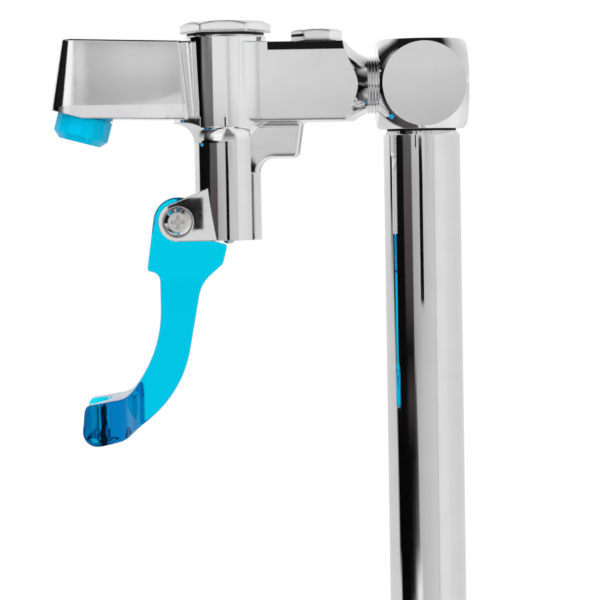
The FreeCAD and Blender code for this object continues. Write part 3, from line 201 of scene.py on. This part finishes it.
class Finish:
    """One procedural material and short ways to add nodes to it."""

    def __init__(self, name, tree=None):
        if tree is None:
            self.material = bpy.data.materials.new(name)
            self.material.use_nodes = True
            tree = self.material.node_tree
        self.tree = tree
        self.tree.nodes.clear()

    def node(self, kind, inputs=None, **settings):
        """Add a node; each input is a plain value or another node's output."""
        node = self.tree.nodes.new(kind)
        for setting, value in settings.items():
            setattr(node, setting, value)
        for name, value in (inputs or {}).items():
            if isinstance(value, bpy.types.NodeSocket):
                self.tree.links.new(value, node.inputs[name])
            else:
                node.inputs[name].default_value = value
        return node

    def math(self, operation, first, second=0.0):
        """Add one sum, and give its result."""
        return self.node("ShaderNodeMath", {0: first, 1: second}, operation=operation).outputs[0]

    def place(self, stretch=(1, 1, 1)):
        """The point on the piece, in metres, stretched along its axes."""
        point = self.node("ShaderNodeTexCoord").outputs["Object"]
        return self.node("ShaderNodeMapping", {"Vector": point, "Scale": stretch}).outputs[0]

    def cloud(self, scale, detail=2.0, stretch=(1, 1, 1)):
        """Even grey noise at so many cells to the metre."""
        return self.node("ShaderNodeTexNoise", {
            "Vector": self.place(stretch), "Scale": scale, "Detail": detail,
            "Roughness": 0.5}).outputs["Fac"]

    def between(self, value, low, high, start=0.0, end=1.0):
        """Spread a value that runs from start to end over low to high."""
        return self.node("ShaderNodeMapRange", {
            "Value": value, "From Min": start, "From Max": end,
            "To Min": low, "To Max": high}).outputs[0]

    def mixed(self, amount, one, other):
        """A colour between two colours."""
        node = self.node("ShaderNodeMix", data_type="RGBA")
        for socket, value in ((node.inputs["Factor"], amount), (node.inputs[6], one),
                              (node.inputs[7], other)):
            if isinstance(value, bpy.types.NodeSocket):
                self.tree.links.new(value, socket)
            else:
                socket.default_value = value
        return node.outputs[2]

    def ramp(self, way, stops):
        """Colours along a way from nought to one; each stop is a place and a colour."""
        node = self.node("ShaderNodeValToRGB", {0: way})
        colours = node.color_ramp.elements
        colours.remove(colours[-1])
        for number, (place, colour) in enumerate(stops):
            stop = colours.new(place) if number else colours[0]
            stop.position = place
            stop.color = colour
        return node.outputs[0]

    def bump(self, height, depth, under=None):
        """Raise the surface by so many metres."""
        inputs = {"Height": height, "Distance": depth, "Strength": 1.0}
        if under is not None:
            inputs["Normal"] = under
        return self.node("ShaderNodeBump", inputs).outputs[0]

    def close(self, surface, volume=None):
        """Join the shaders to the output."""
        out = self.node("ShaderNodeOutputMaterial")
        self.tree.links.new(surface.outputs[0], out.inputs["Surface"])
        if volume is not None:
            self.tree.links.new(volume.outputs[0], out.inputs["Volume"])


def rgba(colour, lift=1.0):
    """A colour with its alpha, made lighter or darker."""
    return tuple(min(1.0, part * lift) for part in colour) + (1.0,)


def shown(level):
    """The light that chrome plate shows as this grey; its darker greys are faintly brown."""
    light = min(1.05, level ** GAMMA / PLATE_SHARE)
    warm = BROWN_GREYS[0] < level < BROWN_GREYS[1]
    return tuple(light * part for part in (BROWN if warm else WHITE[:3])) + (1.0,)


def coat(node_names, finish):
    """Put a finish on each of these CAD nodes."""
    for name in node_names:
        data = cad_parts[name].data
        data.materials.clear()
        data.materials.append(finish.material)


def plate_finish(name, settings, waves, wave_height, edge):
    """Buffed chrome plate: rounded edges, faint clouds in the polish, a slight unevenness."""
    chrome = Finish(name)
    haze = chrome.cloud(90, 4)
    colour = chrome.mixed(chrome.between(haze, 0, 1, 0.3, 0.7), rgba(settings.plate, 0.975),
                          rgba(settings.plate, 1.02))
    gloss = chrome.between(chrome.cloud(320, 3), settings.plate_roughness * 0.6,
                           settings.plate_roughness * 1.7, 0.3, 0.7)
    corner = chrome.node("ShaderNodeBevel", {"Radius": edge}, samples=6).outputs[0]
    wave = chrome.bump(chrome.cloud(waves, 1), wave_height, under=corner)
    skin = chrome.bump(chrome.cloud(1400, 2), 0.4e-6, under=wave)
    chrome.close(chrome.node("ShaderNodeBsdfPrincipled", {
        "Base Color": colour, "Metallic": 1.0, "Roughness": gloss, "Normal": skin}))
    return chrome


def turned_finish(name, colour, roughness, axis="Z"):
    """Turned metal: fine rings round the axis of the lathe and small changes of tone."""
    metal = Finish(name)
    stretch = tuple(6000 if way == axis else 60 for way in "XYZ")
    rings = metal.cloud(1.0, 2, stretch)
    tone = metal.cloud(150, 4)
    metal.close(metal.node("ShaderNodeBsdfPrincipled", {
        "Base Color": metal.mixed(tone, rgba(colour, 0.82), rgba(colour, 1.1)),
        "Metallic": 1.0,
        "Roughness": metal.between(rings, roughness * 0.7, roughness * 1.4, 0.3, 0.7),
        "Normal": metal.bump(rings, 3e-6)}))
    return metal


def dull_finish(name, colour, roughness, grain, depth, gloss=0.5):
    """Rubber or acetal: a fine grain and slightly uneven colour."""
    dull = Finish(name)
    tone = dull.cloud(260, 4)
    dull.close(dull.node("ShaderNodeBsdfPrincipled", {
        "Base Color": dull.mixed(tone, rgba(colour, 0.88), rgba(colour, 1.12)),
        "Roughness": dull.between(tone, roughness * 0.85, roughness * 1.15, 0.3, 0.7),
        "Specular IOR Level": gloss,
        "Normal": dull.bump(dull.cloud(grain, 2), depth)}))
    return dull


def blue_plastic(settings, name, cloudy):
    """Tinted plastic, clear or cloudy: the tint grows with the thickness that light crosses; the
    clear lever also gets painted shade, a darker blue on the near, lower side of the prong's tip.
    """
    plastic = Finish(name)
    clear = WHITE
    # On the clear lever, painted shade: a darker blue is mixed into the colour on the near, lower
    # side of the prong's tip
    if not cloudy:
        point = plastic.node("ShaderNodeSeparateXYZ", {0: plastic.place()}).outputs
        tip = plastic.between(point[0], 1, 0, settings.fork_tip, settings.fork_tip + PAINTED_SHADE_LONG)
        near = plastic.between(point[1], 1, 0, *PAINTED_SHADE_FRONT)
        low = plastic.between(point[2], 1, 0, *PAINTED_SHADE_TOP)
        tip_painted_shade = plastic.math("MULTIPLY", plastic.math("MULTIPLY", tip, near), low)
        clear = plastic.mixed(tip_painted_shade, WHITE, rgba(settings.tip_painted_shade))
    flow = plastic.bump(plastic.cloud(110, 2), 12e-6)
    gloss = plastic.between(plastic.cloud(400, 2), 0.01, 0.06, 0.3, 0.7)
    surface = plastic.node("ShaderNodeBsdfPrincipled", {
        "Base Color": plastic.mixed(plastic.cloud(160, 3), rgba(settings.body, 0.94),
                                    rgba(settings.body)) if cloudy else clear,
        "Roughness": gloss, "IOR": settings.refraction, "Transmission Weight": 1.0 - cloudy,
        "Specular Tint": rgba(settings.gloss), "Normal": flow})
    tinted = plastic.node("ShaderNodeVolumeAbsorption", {
        "Color": rgba(settings.passed), "Density": settings.density})
    plastic.close(surface, tinted)
    return plastic


# Mesh pieces

def piece(name, form, finish, body):
    """Make a smooth-shaded object of a bmesh, with its finish, body and material slot."""
    data = bpy.data.meshes.new(name)
    bmesh.ops.recalc_face_normals(form, faces=form.faces)
    form.to_mesh(data)
    form.free()
    for face in data.polygons:
        face.use_smooth = True
    data.materials.append(finish.material)
    made = bpy.data.objects.new(name, data)
    bpy.context.scene.collection.objects.link(made)
    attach(made, body)
    return made


def thread_height(turn, root, crest):
    """Radius of a rounded vee thread at a point of its turn, from nought to one."""
    rise = 1 - abs(2 * (turn % 1.0) - 1)
    return root + (crest - root) * (0.5 - 0.5 * math.cos(math.pi * rise)) ** 0.8


def skin_of_rings(form, rings, wrap):
    """Join rows of points to a skin; the rows close to loops, and the skin wraps if asked."""
    rows = [[form.verts.new(point) for point in ring] for ring in rings]
    pairs = list(zip(rows, rows[1:]))
    if wrap:
        pairs.append((rows[-1], rows[0]))
    for lower, upper in pairs:
        for step in range(len(lower)):
            after = (step + 1) % len(lower)
            form.faces.new((lower[step], lower[after], upper[after], upper[step]))
    return rows


def ring_at(radius_at, height, around=AROUND):
    """Points of a level ring about Z, whose radius may change along the turn."""
    ring = []
    for step in range(around):
        turn = step / around
        radius = radius_at(turn, height) if callable(radius_at) else radius_at
        ring.append(Vector((radius * math.cos(math.tau * step / around),
                            radius * math.sin(math.tau * step / around), height)))
    return ring


def threaded_tube(bore, ends, radius_at, rows):
    """A closed tube along +Z whose outside radius follows radius_at(turn share, height)."""
    form = bmesh.new()
    low, high = ends
    heights = [low + (high - low) * row / rows for row in range(rows + 1)]
    skin = [ring_at(radius_at, height) for height in heights]
    skin_of_rings(form, [ring_at(bore, low)] + skin + [ring_at(bore, high)], wrap=True)
    return form


# Operators

class FAUCET_OT_plate_chrome(bpy.types.Operator):
    """Chrome-plate the castings, the hexagon heads, the riser and the flange"""
    bl_idname = "faucet.plate_chrome"
    bl_label = "Plate the Chrome"

    def execute(self, context):
        metal = context.scene.faucet_metal
        for nodes, name, waves, wave_height, edge in (
                (["valve_body"], "plate_on_casting", 70, 16e-6, metal.cast_edge),
                (["elbow_body", "deck_flange"], "plate_on_turned_brass", 90, 5e-6,
                 metal.turned_edge),
                (["cap_nut", "service_plug"], "plate_on_heads", 90, 5e-6, metal.nut_edge),
                (["riser_tube"], "plate_on_tube", 40, 5e-6, metal.turned_edge)):
            coat(nodes, plate_finish(name, metal, waves, wave_height, edge))
        return {"FINISHED"}


class FAUCET_OT_finish_brass(bpy.types.Operator):
    """Give the brass nut, seat and guide their turned finish"""
    bl_idname = "faucet.finish_brass"
    bl_label = "Finish the Brass"

    def execute(self, context):
        metal = context.scene.faucet_metal
        coat(["lock_nut"], turned_finish("nut_brass", metal.brass, 0.26))
        coat(["seat_ring", "stem_guide"], turned_finish("inner_brass", metal.brass, 0.2))
        return {"FINISHED"}


class FAUCET_OT_finish_steel(bpy.types.Operator):
    """Give the stem, its clip and the pivot screw their steel finish"""
    bl_idname = "faucet.finish_steel"
    bl_label = "Finish the Steel"

    def execute(self, context):
        metal = context.scene.faucet_metal
        coat(["valve_stem", "disc_clip"], turned_finish("stem_steel", metal.steel, 0.22))
        coat(["pivot_screw"], self.screw_finish(metal))
        return {"FINISHED"}

    def screw_finish(self, metal):
        """Bright steel: satin on the head's flat face, polished on its domed rim."""
        steel = Finish("screw_steel")
        (left, _, low), (right, _, high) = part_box("pivot_screw")
        axis = ((left + right) / 2, 0.0, (low + high) / 2)
        point = steel.node("ShaderNodeVectorMath", {0: steel.place(), 1: axis},
                           operation="SUBTRACT")
        level = steel.node("ShaderNodeVectorMath", {0: point.outputs[0], 1: (1, 0, 1)},
                           operation="MULTIPLY")
        out = steel.node("ShaderNodeVectorMath", {0: level.outputs[0]}, operation="LENGTH")
        rim = steel.between(out.outputs["Value"], 0, 1, metal.screw_face,
                            metal.screw_face + 0.2 * MM)
        satin = steel.between(steel.cloud(900, 3), 0.34, 0.5, 0.3, 0.7)
        corner = steel.node("ShaderNodeBevel", {"Radius": 0.25 * MM}, samples=6).outputs[0]
        steel.close(steel.node("ShaderNodeBsdfPrincipled", {
            "Base Color": steel.mixed(steel.cloud(500, 2), rgba(metal.screw, 0.93),
                                      rgba(metal.screw)),
            "Metallic": 1.0,
            "Roughness": steel.node("ShaderNodeMix", {0: rim, 2: satin, 3: 0.12}).outputs[0],
            "Normal": steel.bump(steel.cloud(1500, 2), 2e-6, under=corner)}))
        return steel


class FAUCET_OT_finish_rubber(bpy.types.Operator):
    """Give washers, gaskets, disc and seal their black rubber"""
    bl_idname = "faucet.finish_rubber"
    bl_label = "Finish the Rubber"

    def execute(self, context):
        rubber = dull_finish("nitrile_rubber", context.scene.faucet_plastic.rubber, 0.5, 2600, 5e-6,
                             gloss=0.15)
        coat(["flange_gasket", "deck_washer", "riser_washer", "cap_gasket", "plug_washer",
              "valve_disc", "stem_seal"], rubber)
        return {"FINISHED"}


class FAUCET_OT_finish_plastic(bpy.types.Operator):
    """Give the nozzle its cloudy blue and the bush and straightener their white plastic"""
    bl_idname = "faucet.finish_plastic"
    bl_label = "Finish the Plastic"

    def execute(self, context):
        plastic = context.scene.faucet_plastic
        coat(["nozzle"], blue_plastic(plastic, "nozzle_plastic", plastic.nozzle_cloud))
        coat(["pivot_bush", "flow_straightener"],
             dull_finish("white_acetal", plastic.acetal, 0.4, 1800, 3e-6))
        return {"FINISHED"}


class FAUCET_OT_mould_lever(bpy.types.Operator):
    """Mould the blue lever with rounded edges"""
    bl_idname = "faucet.mould_lever"
    bl_label = "Mould the Lever"

    def execute(self, context):
        plastic = context.scene.faucet_plastic
        form = bmesh.new()
        form.from_mesh(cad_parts["push_lever"].data)
        bmesh.ops.remove_doubles(form, verts=form.verts, dist=2e-6)
        bmesh.ops.dissolve_limit(form, angle_limit=math.radians(0.3), verts=form.verts,
                                 edges=form.edges)
        lever = piece("soft_lever", form, blue_plastic(plastic, "lever_plastic", 0.0), "lever")
        skin = lever.modifiers.new("even_skin", "REMESH")
        skin.mode = "VOXEL"
        skin.voxel_size = plastic.grain
        skin.use_smooth_shade = True
        soft = lever.modifiers.new("moulded_edges", "SMOOTH")
        soft.factor = 0.5
        soft.iterations = max(1, round((plastic.edge / plastic.grain) ** 2 * 3))
        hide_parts("push_lever")
        return {"FINISHED"}


class FAUCET_OT_cut_neck_thread(bpy.types.Operator):
    """Cut the thread that shows between the arm and the elbow"""
    bl_idname = "faucet.cut_neck_thread"
    bl_label = "Cut the Neck Thread"

    def execute(self, context):
        thread = context.scene.faucet_thread
        metal = context.scene.faucet_metal
        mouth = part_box("elbow_body")[0][0]

        def radius_at(turn, height):
            return thread_height(height / thread.neck_pitch - turn, thread.neck_root,
                                 thread.neck_crest)

        form = threaded_tube(NECK_BORE, (mouth - NECK_OUT, mouth + NECK_IN), radius_at, NECK_ROWS)
        to_arm = Matrix.Translation((0, 0, ARM_AXIS_Z)) @ Matrix.Rotation(math.pi / 2, 4, "Y")
        bmesh.ops.transform(form, matrix=to_arm, verts=form.verts)
        piece("neck_thread", form, turned_finish("neck_thread_plate", metal.plate, 0.14, "X"),
              "fixed")
        return {"FINISHED"}


class FAUCET_OT_cut_shank_thread(bpy.types.Operator):
    """Cut the half inch thread along the inlet shank"""
    bl_idname = "faucet.cut_shank_thread"
    bl_label = "Cut the Shank Thread"

    def execute(self, context):
        thread = context.scene.faucet_thread
        metal = context.scene.faucet_metal
        low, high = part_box("inlet_shank")[0][2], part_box("inlet_shank")[1][2]
        groove_low, groove_high = (low + up for up in SHANK_GROOVE)

        def radius_at(turn, height):
            from_end = min(height - low, high - height)
            radius = thread_height(height / thread.shank_pitch - turn, thread.shank_root,
                                   thread.shank_crest)
            if groove_low <= height <= groove_high:
                radius = min(radius, thread.shank_crest - GROOVE_DEPTH)
            return min(radius, thread.shank_crest - SHANK_CHAMFER + from_end)

        form = threaded_tube(SHANK_BORE, (low, high), radius_at, SHANK_ROWS)
        shank = piece("cut_shank", form, turned_finish("shank_brass", metal.brass, 0.26), "fixed")
        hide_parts("inlet_shank")
        return {"FINISHED"}


class FAUCET_OT_wind_spring(bpy.types.Operator):
    """Wind the valve spring of round wire with closed, ground ends"""
    bl_idname = "faucet.wind_spring"
    bl_label = "Wind the Spring"

    def execute(self, context):
        thread = context.scene.faucet_thread
        (left, _, low), (right, _, high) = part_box("valve_spring")
        wire = thread.spring_wire / 2
        radius = (right - left) / 2 - wire
        turns = thread.spring_turns + 2
        steps = STEPS_A_TURN * turns
        rise = high - low - 2 * wire
        sides = [math.tau * side / WIRE_SIDES for side in range(WIRE_SIDES)]
        rings = []
        for step in range(steps + 1):
            turn = turns * step / steps
            climb = min(max((turn - FLAT_TURN) / (turns - 2 * FLAT_TURN), 0), 1)
            height = low + wire + END_CLIMB * turn / turns + (rise - END_CLIMB) * climb
            out = Vector((math.cos(math.tau * turn), math.sin(math.tau * turn), 0))
            centre = Vector((VALVE_AXIS_X, 0, height)) + radius * out
            rings.append([centre + wire * (math.cos(side) * out
                                           + math.sin(side) * Vector((0, 0, 1)))
                          for side in sides])
        form = bmesh.new()
        rows = skin_of_rings(form, rings, wrap=False)
        form.faces.new(reversed(rows[0]))
        form.faces.new(rows[-1])
        spring = piece("wound_spring", form,
                       turned_finish("spring_wire", context.scene.faucet_metal.steel, 0.2),
                       "fixed")
        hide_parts("valve_spring")
        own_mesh(spring)
        return {"FINISHED"}


# What the polished metal shows of the room: for each elevation, how light it looks at some
# azimuths, all in degrees. Nought is the way from the faucet to the camera, more is to its left.
WHITE_SIDE = [(-180, 0.83), (-110, 0.81), (-73, 0.83), (-60, 0.855), (-41, 0.86), (-34, 0.84),
              (-30, 0.74)]
STUDIO_VIEWS = [
    (-62, [(-180, 0.88), (-26, 0.88), (-18, 0.50), (8, 0.50), (16, 0.88), (60, 0.90), (67, 0.30),
           (118, 0.28), (124, 0.88), (180, 0.88)]),
    (-42, [(-180, 0.91), (-38, 0.92), (-30, 0.72), (-24, 0.44), (10, 0.42), (15, 0.72), (20, 0.98),
           (52, 0.98), (62, 0.90), (70, 0.50), (92, 0.14), (114, 0.14), (121, 0.80), (180, 0.86)]),
    (-13.3, WHITE_SIDE + [(-26, 0.78), (10, 0.73), (19, 0.72), (22, 0.92), (44, 0.97), (56, 0.30),
                          (66, 0.06), (88, 0.06), (94, 0.80), (180, 0.81)]),
    (-10, WHITE_SIDE + [(-26, 0.78), (10, 0.73), (19, 0.72), (22, 0.85), (31, 0.92), (36, 0.75),
                        (43, 0.35), (48, 0.13), (62, 0.06), (90, 0.06), (95, 0.80), (180, 0.81)]),
    (-9, WHITE_SIDE + [(-26, 0.78), (10, 0.73), (26, 0.69), (29, 0.42), (36, 0.28), (44, 0.15),
                       (54, 0.06), (96, 0.05), (102, 0.79), (180, 0.81)]),
    (-6.7, WHITE_SIDE + [(-26, 0.78), (10, 0.73), (27, 0.69), (30, 0.26), (40, 0.11), (52, 0.06),
                         (98, 0.05), (104, 0.78), (180, 0.81)]),
    (-5.5, WHITE_SIDE + [(-26, 0.78), (10, 0.73), (29, 0.67), (33, 0.26), (42, 0.21), (52, 0.22),
                         (63, 0.10), (66, 0.08), (100, 0.08), (106, 0.78), (180, 0.81)]),
    (-4.3, WHITE_SIDE + [(-26, 0.78), (10, 0.72), (35, 0.58), (37, 0.12), (50, 0.09), (64, 0.07),
                         (102, 0.07), (108, 0.78), (180, 0.81)]),
    (-3.1, WHITE_SIDE + [(-26, 0.78), (10, 0.71), (35, 0.63), (37, 0.24), (60, 0.22), (64, 0.07),
                         (106, 0.07), (111, 0.78), (180, 0.81)]),
    (-0.6, WHITE_SIDE + [(-26, 0.77), (-4, 0.75), (10, 0.71), (36, 0.66), (37.5, 0.29), (62, 0.30),
                         (65, 0.09), (117, 0.07), (121, 0.80), (180, 0.85)]),
    (0.8, WHITE_SIDE + [(-26, 0.80), (-8, 0.70), (-4.8, 0.71), (-3, 0.78), (-1.5, 0.77), (0, 0.80),
                        (10, 0.74), (36, 0.74), (37.5, 0.36), (62, 0.34), (65, 0.09), (117, 0.07),
                        (121, 0.85), (180, 0.87)]),
    (1.5, [(-180, 0.86), (-62, 0.88), (-40, 0.88), (-16, 0.84), (-6, 0.73), (-4.8, 0.735),
           (-3, 0.78), (-1.6, 0.78), (0.8, 0.89), (3.2, 0.83), (12, 0.83), (38, 0.82),
           (39.5, 0.42), (62, 0.44), (68, 0.35), (72, 0.06), (117, 0.05), (121, 0.91),
           (180, 0.91)]),
    (2.5, [(-180, 0.89), (-62, 0.91), (-42, 0.91), (-38, 0.85), (-30, 0.90), (-14, 0.87),
           (-6.6, 0.76), (-5.4, 0.815), (-3.2, 0.80), (-1, 0.85), (6, 0.88), (38, 0.87),
           (39.5, 0.44), (60, 0.45), (67, 0.53), (73, 0.36), (75, 0.06), (117, 0.05),
           (121, 0.93), (180, 0.93)]),
    (9, [(-180, 0.86), (-60, 0.84), (-14, 0.75), (-4, 0.80), (4, 0.85), (45, 0.90), (54, 0.10),
         (122, 0.06), (135, 0.90), (180, 0.93)]),
    (13, [(-180, 0.86), (-60, 0.80), (-14, 0.69), (3, 0.80), (4.5, 0.97), (44, 0.97), (51, 0.14),
          (130, 0.10), (144, 0.91), (180, 0.93)]),
    (22, [(-180, 0.90), (-110, 0.83), (-30, 0.78), (-4, 0.68), (3, 0.75), (5, 0.95), (44, 0.97),
          (52, 0.12), (130, 0.08), (145, 0.90), (180, 0.93)]),
    (46, [(-180, 0.78), (-100, 0.75), (0, 0.70), (60, 0.60), (80, 0.85), (95, 0.15), (115, 0.15),
          (140, 0.85), (180, 0.85)]),
    (60, [(-180, 0.12), (180, 0.12)]),
]

# Cards that only the polished metal shows, all in millimetres: name, finish, how far the card
# stands towards the camera, and its corners along X and Z
CARDS = (
    ("tube_card", "black", -590, ((-151, 110), (-43, 110), (-44, 190), (-54, 200), (-54, 208),
                                  (-151, 208))),
    ("ear_card", "grey", -200, ((-93, 198.5), (-78, 198.5), (-78, 212.5), (-93, 212.5))),
    ("spout_card", "soft", -590, ((-162, 319), (-84, 335), (-84, 374), (-162, 374))),
)
CARD_GREYS = {"black": 0.09, "grey": 0.14}
CARD_ACROSS = [(-160, 1.0), (-154.6, 1.0), (-153.8, 0.60), (-153, 0.86), (-150, 0.88),
               (-147.6, 0.83), (-146, 0.76), (-144, 0.75), (-139, 0.77), (-130, 0.80),
               (-121, 0.825), (-112, 0.82), (-103, 0.81), (-97, 0.785), (-92, 0.77)]
CARD_DOWN = [(319, 0.90), (331, 0.90), (337, 0.91), (343, 0.94), (349, 0.98), (355, 1.0),
             (361, 0.99), (364, 0.94), (368, 0.86)]


class FAUCET_OT_set_studio(bpy.types.Operator):
    """Lay the floor, light the studio and set the camera"""
    bl_idname = "faucet.set_studio"
    bl_label = "Set the Studio"

    def execute(self, context):
        studio = context.scene.faucet_studio
        self.lay_floor(studio)
        self.light_room(context)
        self.hang_lamps()
        self.stand_cards()
        self.set_camera(context, studio)
        context.scene.view_settings.view_transform = "Standard"
        return {"FINISHED"}

    def lay_floor(self, studio):
        """A pale floor whose shading fades into the white room at its rim."""
        form = bmesh.new()
        reach = studio.floor_size
        around = 96
        radii = [0.001] + [reach * part for part in FLOOR_RINGS] + [reach]
        rings = [[Vector((x + FLOOR_X, y, -studio.floor_drop)) for x, y, _ in
                  ring_at(radius, 0, around)] for radius in radii]
        skin_of_rings(form, rings, wrap=False)
        bmesh.ops.contextual_create(form, geom=form.verts[:around])
        data = bpy.data.meshes.new("floor")
        form.to_mesh(data)
        form.free()
        floor = bpy.data.objects.new("floor", data)
        bpy.context.scene.collection.objects.link(floor)
        pale = Finish("pale_floor")
        point = pale.node("ShaderNodeTexCoord").outputs["Object"]
        away = pale.node("ShaderNodeVectorMath", {0: point, 1: (-FLOOR_X, 0, studio.floor_drop)},
                         operation="ADD").outputs[0]
        away = pale.node("ShaderNodeVectorMath", {0: away}, operation="LENGTH").outputs["Value"]
        fade = pale.between(away, 0, 1, reach * FLOOR_FADE[0], reach * FLOOR_FADE[1])
        shade = pale.node("ShaderNodeBsdfDiffuse", {"Color": FLOOR_SHADE})
        glow = pale.node("ShaderNodeEmission", {"Color": WHITE, "Strength": FLOOR_GLOW})
        lit = pale.node("ShaderNodeAddShader")
        pale.tree.links.new(shade.outputs[0], lit.inputs[0])
        pale.tree.links.new(glow.outputs[0], lit.inputs[1])
        rim = pale.node("ShaderNodeEmission", {"Color": WHITE, "Strength": 1.0})
        pale.close(pale.node("ShaderNodeMixShader", {0: fade, 1: lit.outputs[0],
                                                     2: rim.outputs[0]}))
        data.materials.append(pale.material)
        floor.visible_glossy = False

    def light_room(self, context):
        """White to the camera, even to dull surfaces, and a room of panels to the metal.

        Clear plastic shows a backdrop that is white square on and dark aslant.
        """
        world = bpy.data.worlds.new("room")
        context.scene.world = world
        world.use_nodes = True
        room = Finish("room", world.node_tree)
        way = room.node("ShaderNodeTexCoord").outputs["Generated"]
        parts = room.node("ShaderNodeSeparateXYZ", {0: way})
        across = room.math("MULTIPLY", parts.outputs[0], -1.0)
        toward = room.math("MULTIPLY", parts.outputs[1], -1.0)
        turn = room.math("ARCTAN2", across, toward)
        turn = room.between(turn, 0, 1, -math.pi, math.pi)
        rise = room.math("ARCSINE", parts.outputs[2])
        seen, last = None, None
        for height, stops in STUDIO_VIEWS:
            row = room.ramp(turn, [((degrees + 180) / 360, shown(level))
                                   for degrees, level in stops])
            if seen is None:
                seen = row
            else:
                step = room.between(rise, 0, 1, math.radians(last), math.radians(height))
                seen = room.mixed(step, seen, row)
            last = height
        path = room.node("ShaderNodeLightPath").outputs
        plain = room.mixed(path["Is Glossy Ray"], DULL_ROOM, seen)
        square = room.math("MAXIMUM", room.math("ABSOLUTE", parts.outputs[0]),
                           room.math("ABSOLUTE", parts.outputs[1]))
        backdrop = room.mixed(room.between(square, 0, 1, *BACKDROP_EDGE), DARK_BACKDROP, WHITE)
        through = room.mixed(path["Is Transmission Ray"], plain, backdrop)
        final = room.mixed(path["Is Camera Ray"], through, WHITE)
        light = room.node("ShaderNodeBackground", {"Color": final, "Strength": 1.0})
        out = room.node("ShaderNodeOutputWorld")
        room.tree.links.new(light.outputs[0], out.inputs["Surface"])

    def hang_lamps(self):
        """A broad lamp above and one in front, which the metal doesn't mirror."""
        for name, place, size, power in LAMPS:
            data = bpy.data.lights.new(name, "AREA")
            data.size = size
            data.energy = power
            lamp = bpy.data.objects.new(name, data)
            lamp.location = place
            toward = Vector(LAMP_AIM) - Vector(place)
            lamp.rotation_euler = toward.to_track_quat("-Z", "Y").to_euler()
            lamp.visible_glossy = False
            lamp.visible_transmission = False
            bpy.context.scene.collection.objects.link(lamp)

    def stand_cards(self):
        """Cards round the camera that only the polished metal shows."""
        finishes = {tone: Finish("card_" + tone) for tone in ("black", "grey", "soft")}
        for tone, level in CARD_GREYS.items():
            card = finishes[tone]
            card.close(card.node("ShaderNodeEmission", {"Color": shown(level)}))
        soft = finishes["soft"]
        place = soft.node("ShaderNodeSeparateXYZ", {
            0: soft.node("ShaderNodeTexCoord").outputs["Object"]}).outputs
        light = soft.node("ShaderNodeVectorMath", {
            0: self.graded(soft, place[0], CARD_ACROSS),
            1: self.graded(soft, place[2], CARD_DOWN)}, operation="MULTIPLY")
        soft.close(soft.node("ShaderNodeEmission", {"Color": light.outputs[0]}))
        for name, tone, near, corners in CARDS:
            form = bmesh.new()
            form.faces.new([form.verts.new((x * MM, near * MM, z * MM)) for x, z in corners])
            data = bpy.data.meshes.new(name)
            form.to_mesh(data)
            form.free()
            card = bpy.data.objects.new(name, data)
            bpy.context.scene.collection.objects.link(card)
            data.materials.append(finishes[tone].material)
            for ray in ("camera", "diffuse", "transmission", "volume_scatter", "shadow"):
                setattr(card, "visible_" + ray, False)

    def graded(self, finish, way, stops):
        """Greys that run along one way, from stops in millimetres."""
        low, high = stops[0][0], stops[-1][0]
        return finish.ramp(finish.between(way, 0, 1, low * MM, high * MM),
                           [((place - low) / (high - low), rgba([level ** GAMMA] * 3))
                            for place, level in stops])

    def set_camera(self, context, studio):
        """The camera, level with the valve."""
        data = bpy.data.cameras.new("front")
        data.lens = studio.lens
        data.sensor_width = 36
        data.clip_start = 0.01
        camera = bpy.data.objects.new("front", data)
        turn = (Matrix.Rotation(studio.swing, 4, "Z") @ Matrix.Rotation(studio.tilt, 4, "X")
                @ Matrix.Rotation(studio.roll, 4, "Y"))
        camera.matrix_world = (Matrix.Translation(studio.place) @ turn
                               @ Matrix.Rotation(math.pi / 2, 4, "X"))
        bpy.context.scene.collection.objects.link(camera)
        context.scene.camera = camera


class FAUCET_PT_sidebar(bpy.types.Panel):
    """Lists the settings and the steps of the faucet"""
    bl_idname = "FAUCET_PT_sidebar"
    bl_label = "Glass Filler Faucet"
    bl_space_type = "VIEW_3D"
    bl_region_type = "UI"
    bl_category = "Faucet"

    def draw(self, context):
        for group, kind in SETTINGS.items():
            box = self.layout.box()
            for name in kind.__annotations__:
                box.prop(getattr(context.scene, group), name)
        for step in STEPS:
            self.layout.operator(step.bl_idname)


SETTINGS = {
    "faucet_metal": MetalSettings,
    "faucet_plastic": PlasticSettings,
    "faucet_thread": ThreadSettings,
    "faucet_studio": StudioSettings,
}
STEPS = [
    FAUCET_OT_plate_chrome,
    FAUCET_OT_finish_brass,
    FAUCET_OT_finish_steel,
    FAUCET_OT_finish_rubber,
    FAUCET_OT_finish_plastic,
    FAUCET_OT_mould_lever,
    FAUCET_OT_cut_neck_thread,
    FAUCET_OT_cut_shank_thread,
    FAUCET_OT_wind_spring,
    FAUCET_OT_set_studio,
]
CLASSES = list(SETTINGS.values()) + STEPS + [FAUCET_PT_sidebar]


def register():
    """Register the classes and hang the settings on the scene."""
    for kind in CLASSES:
        bpy.utils.register_class(kind)
    for group, kind in SETTINGS.items():
        setattr(bpy.types.Scene, group, PointerProperty(type=kind))


def unregister():
    """Take the settings and the classes off again."""
    for group in SETTINGS:
        delattr(bpy.types.Scene, group)
    for kind in reversed(CLASSES):
        bpy.utils.unregister_class(kind)


def main():
    """Make the whole faucet and its studio."""
    register()
    for step in STEPS:
        family, name = step.bl_idname.split(".")
        getattr(getattr(bpy.ops, family), name)()


if __name__ == "__main__":
    main()
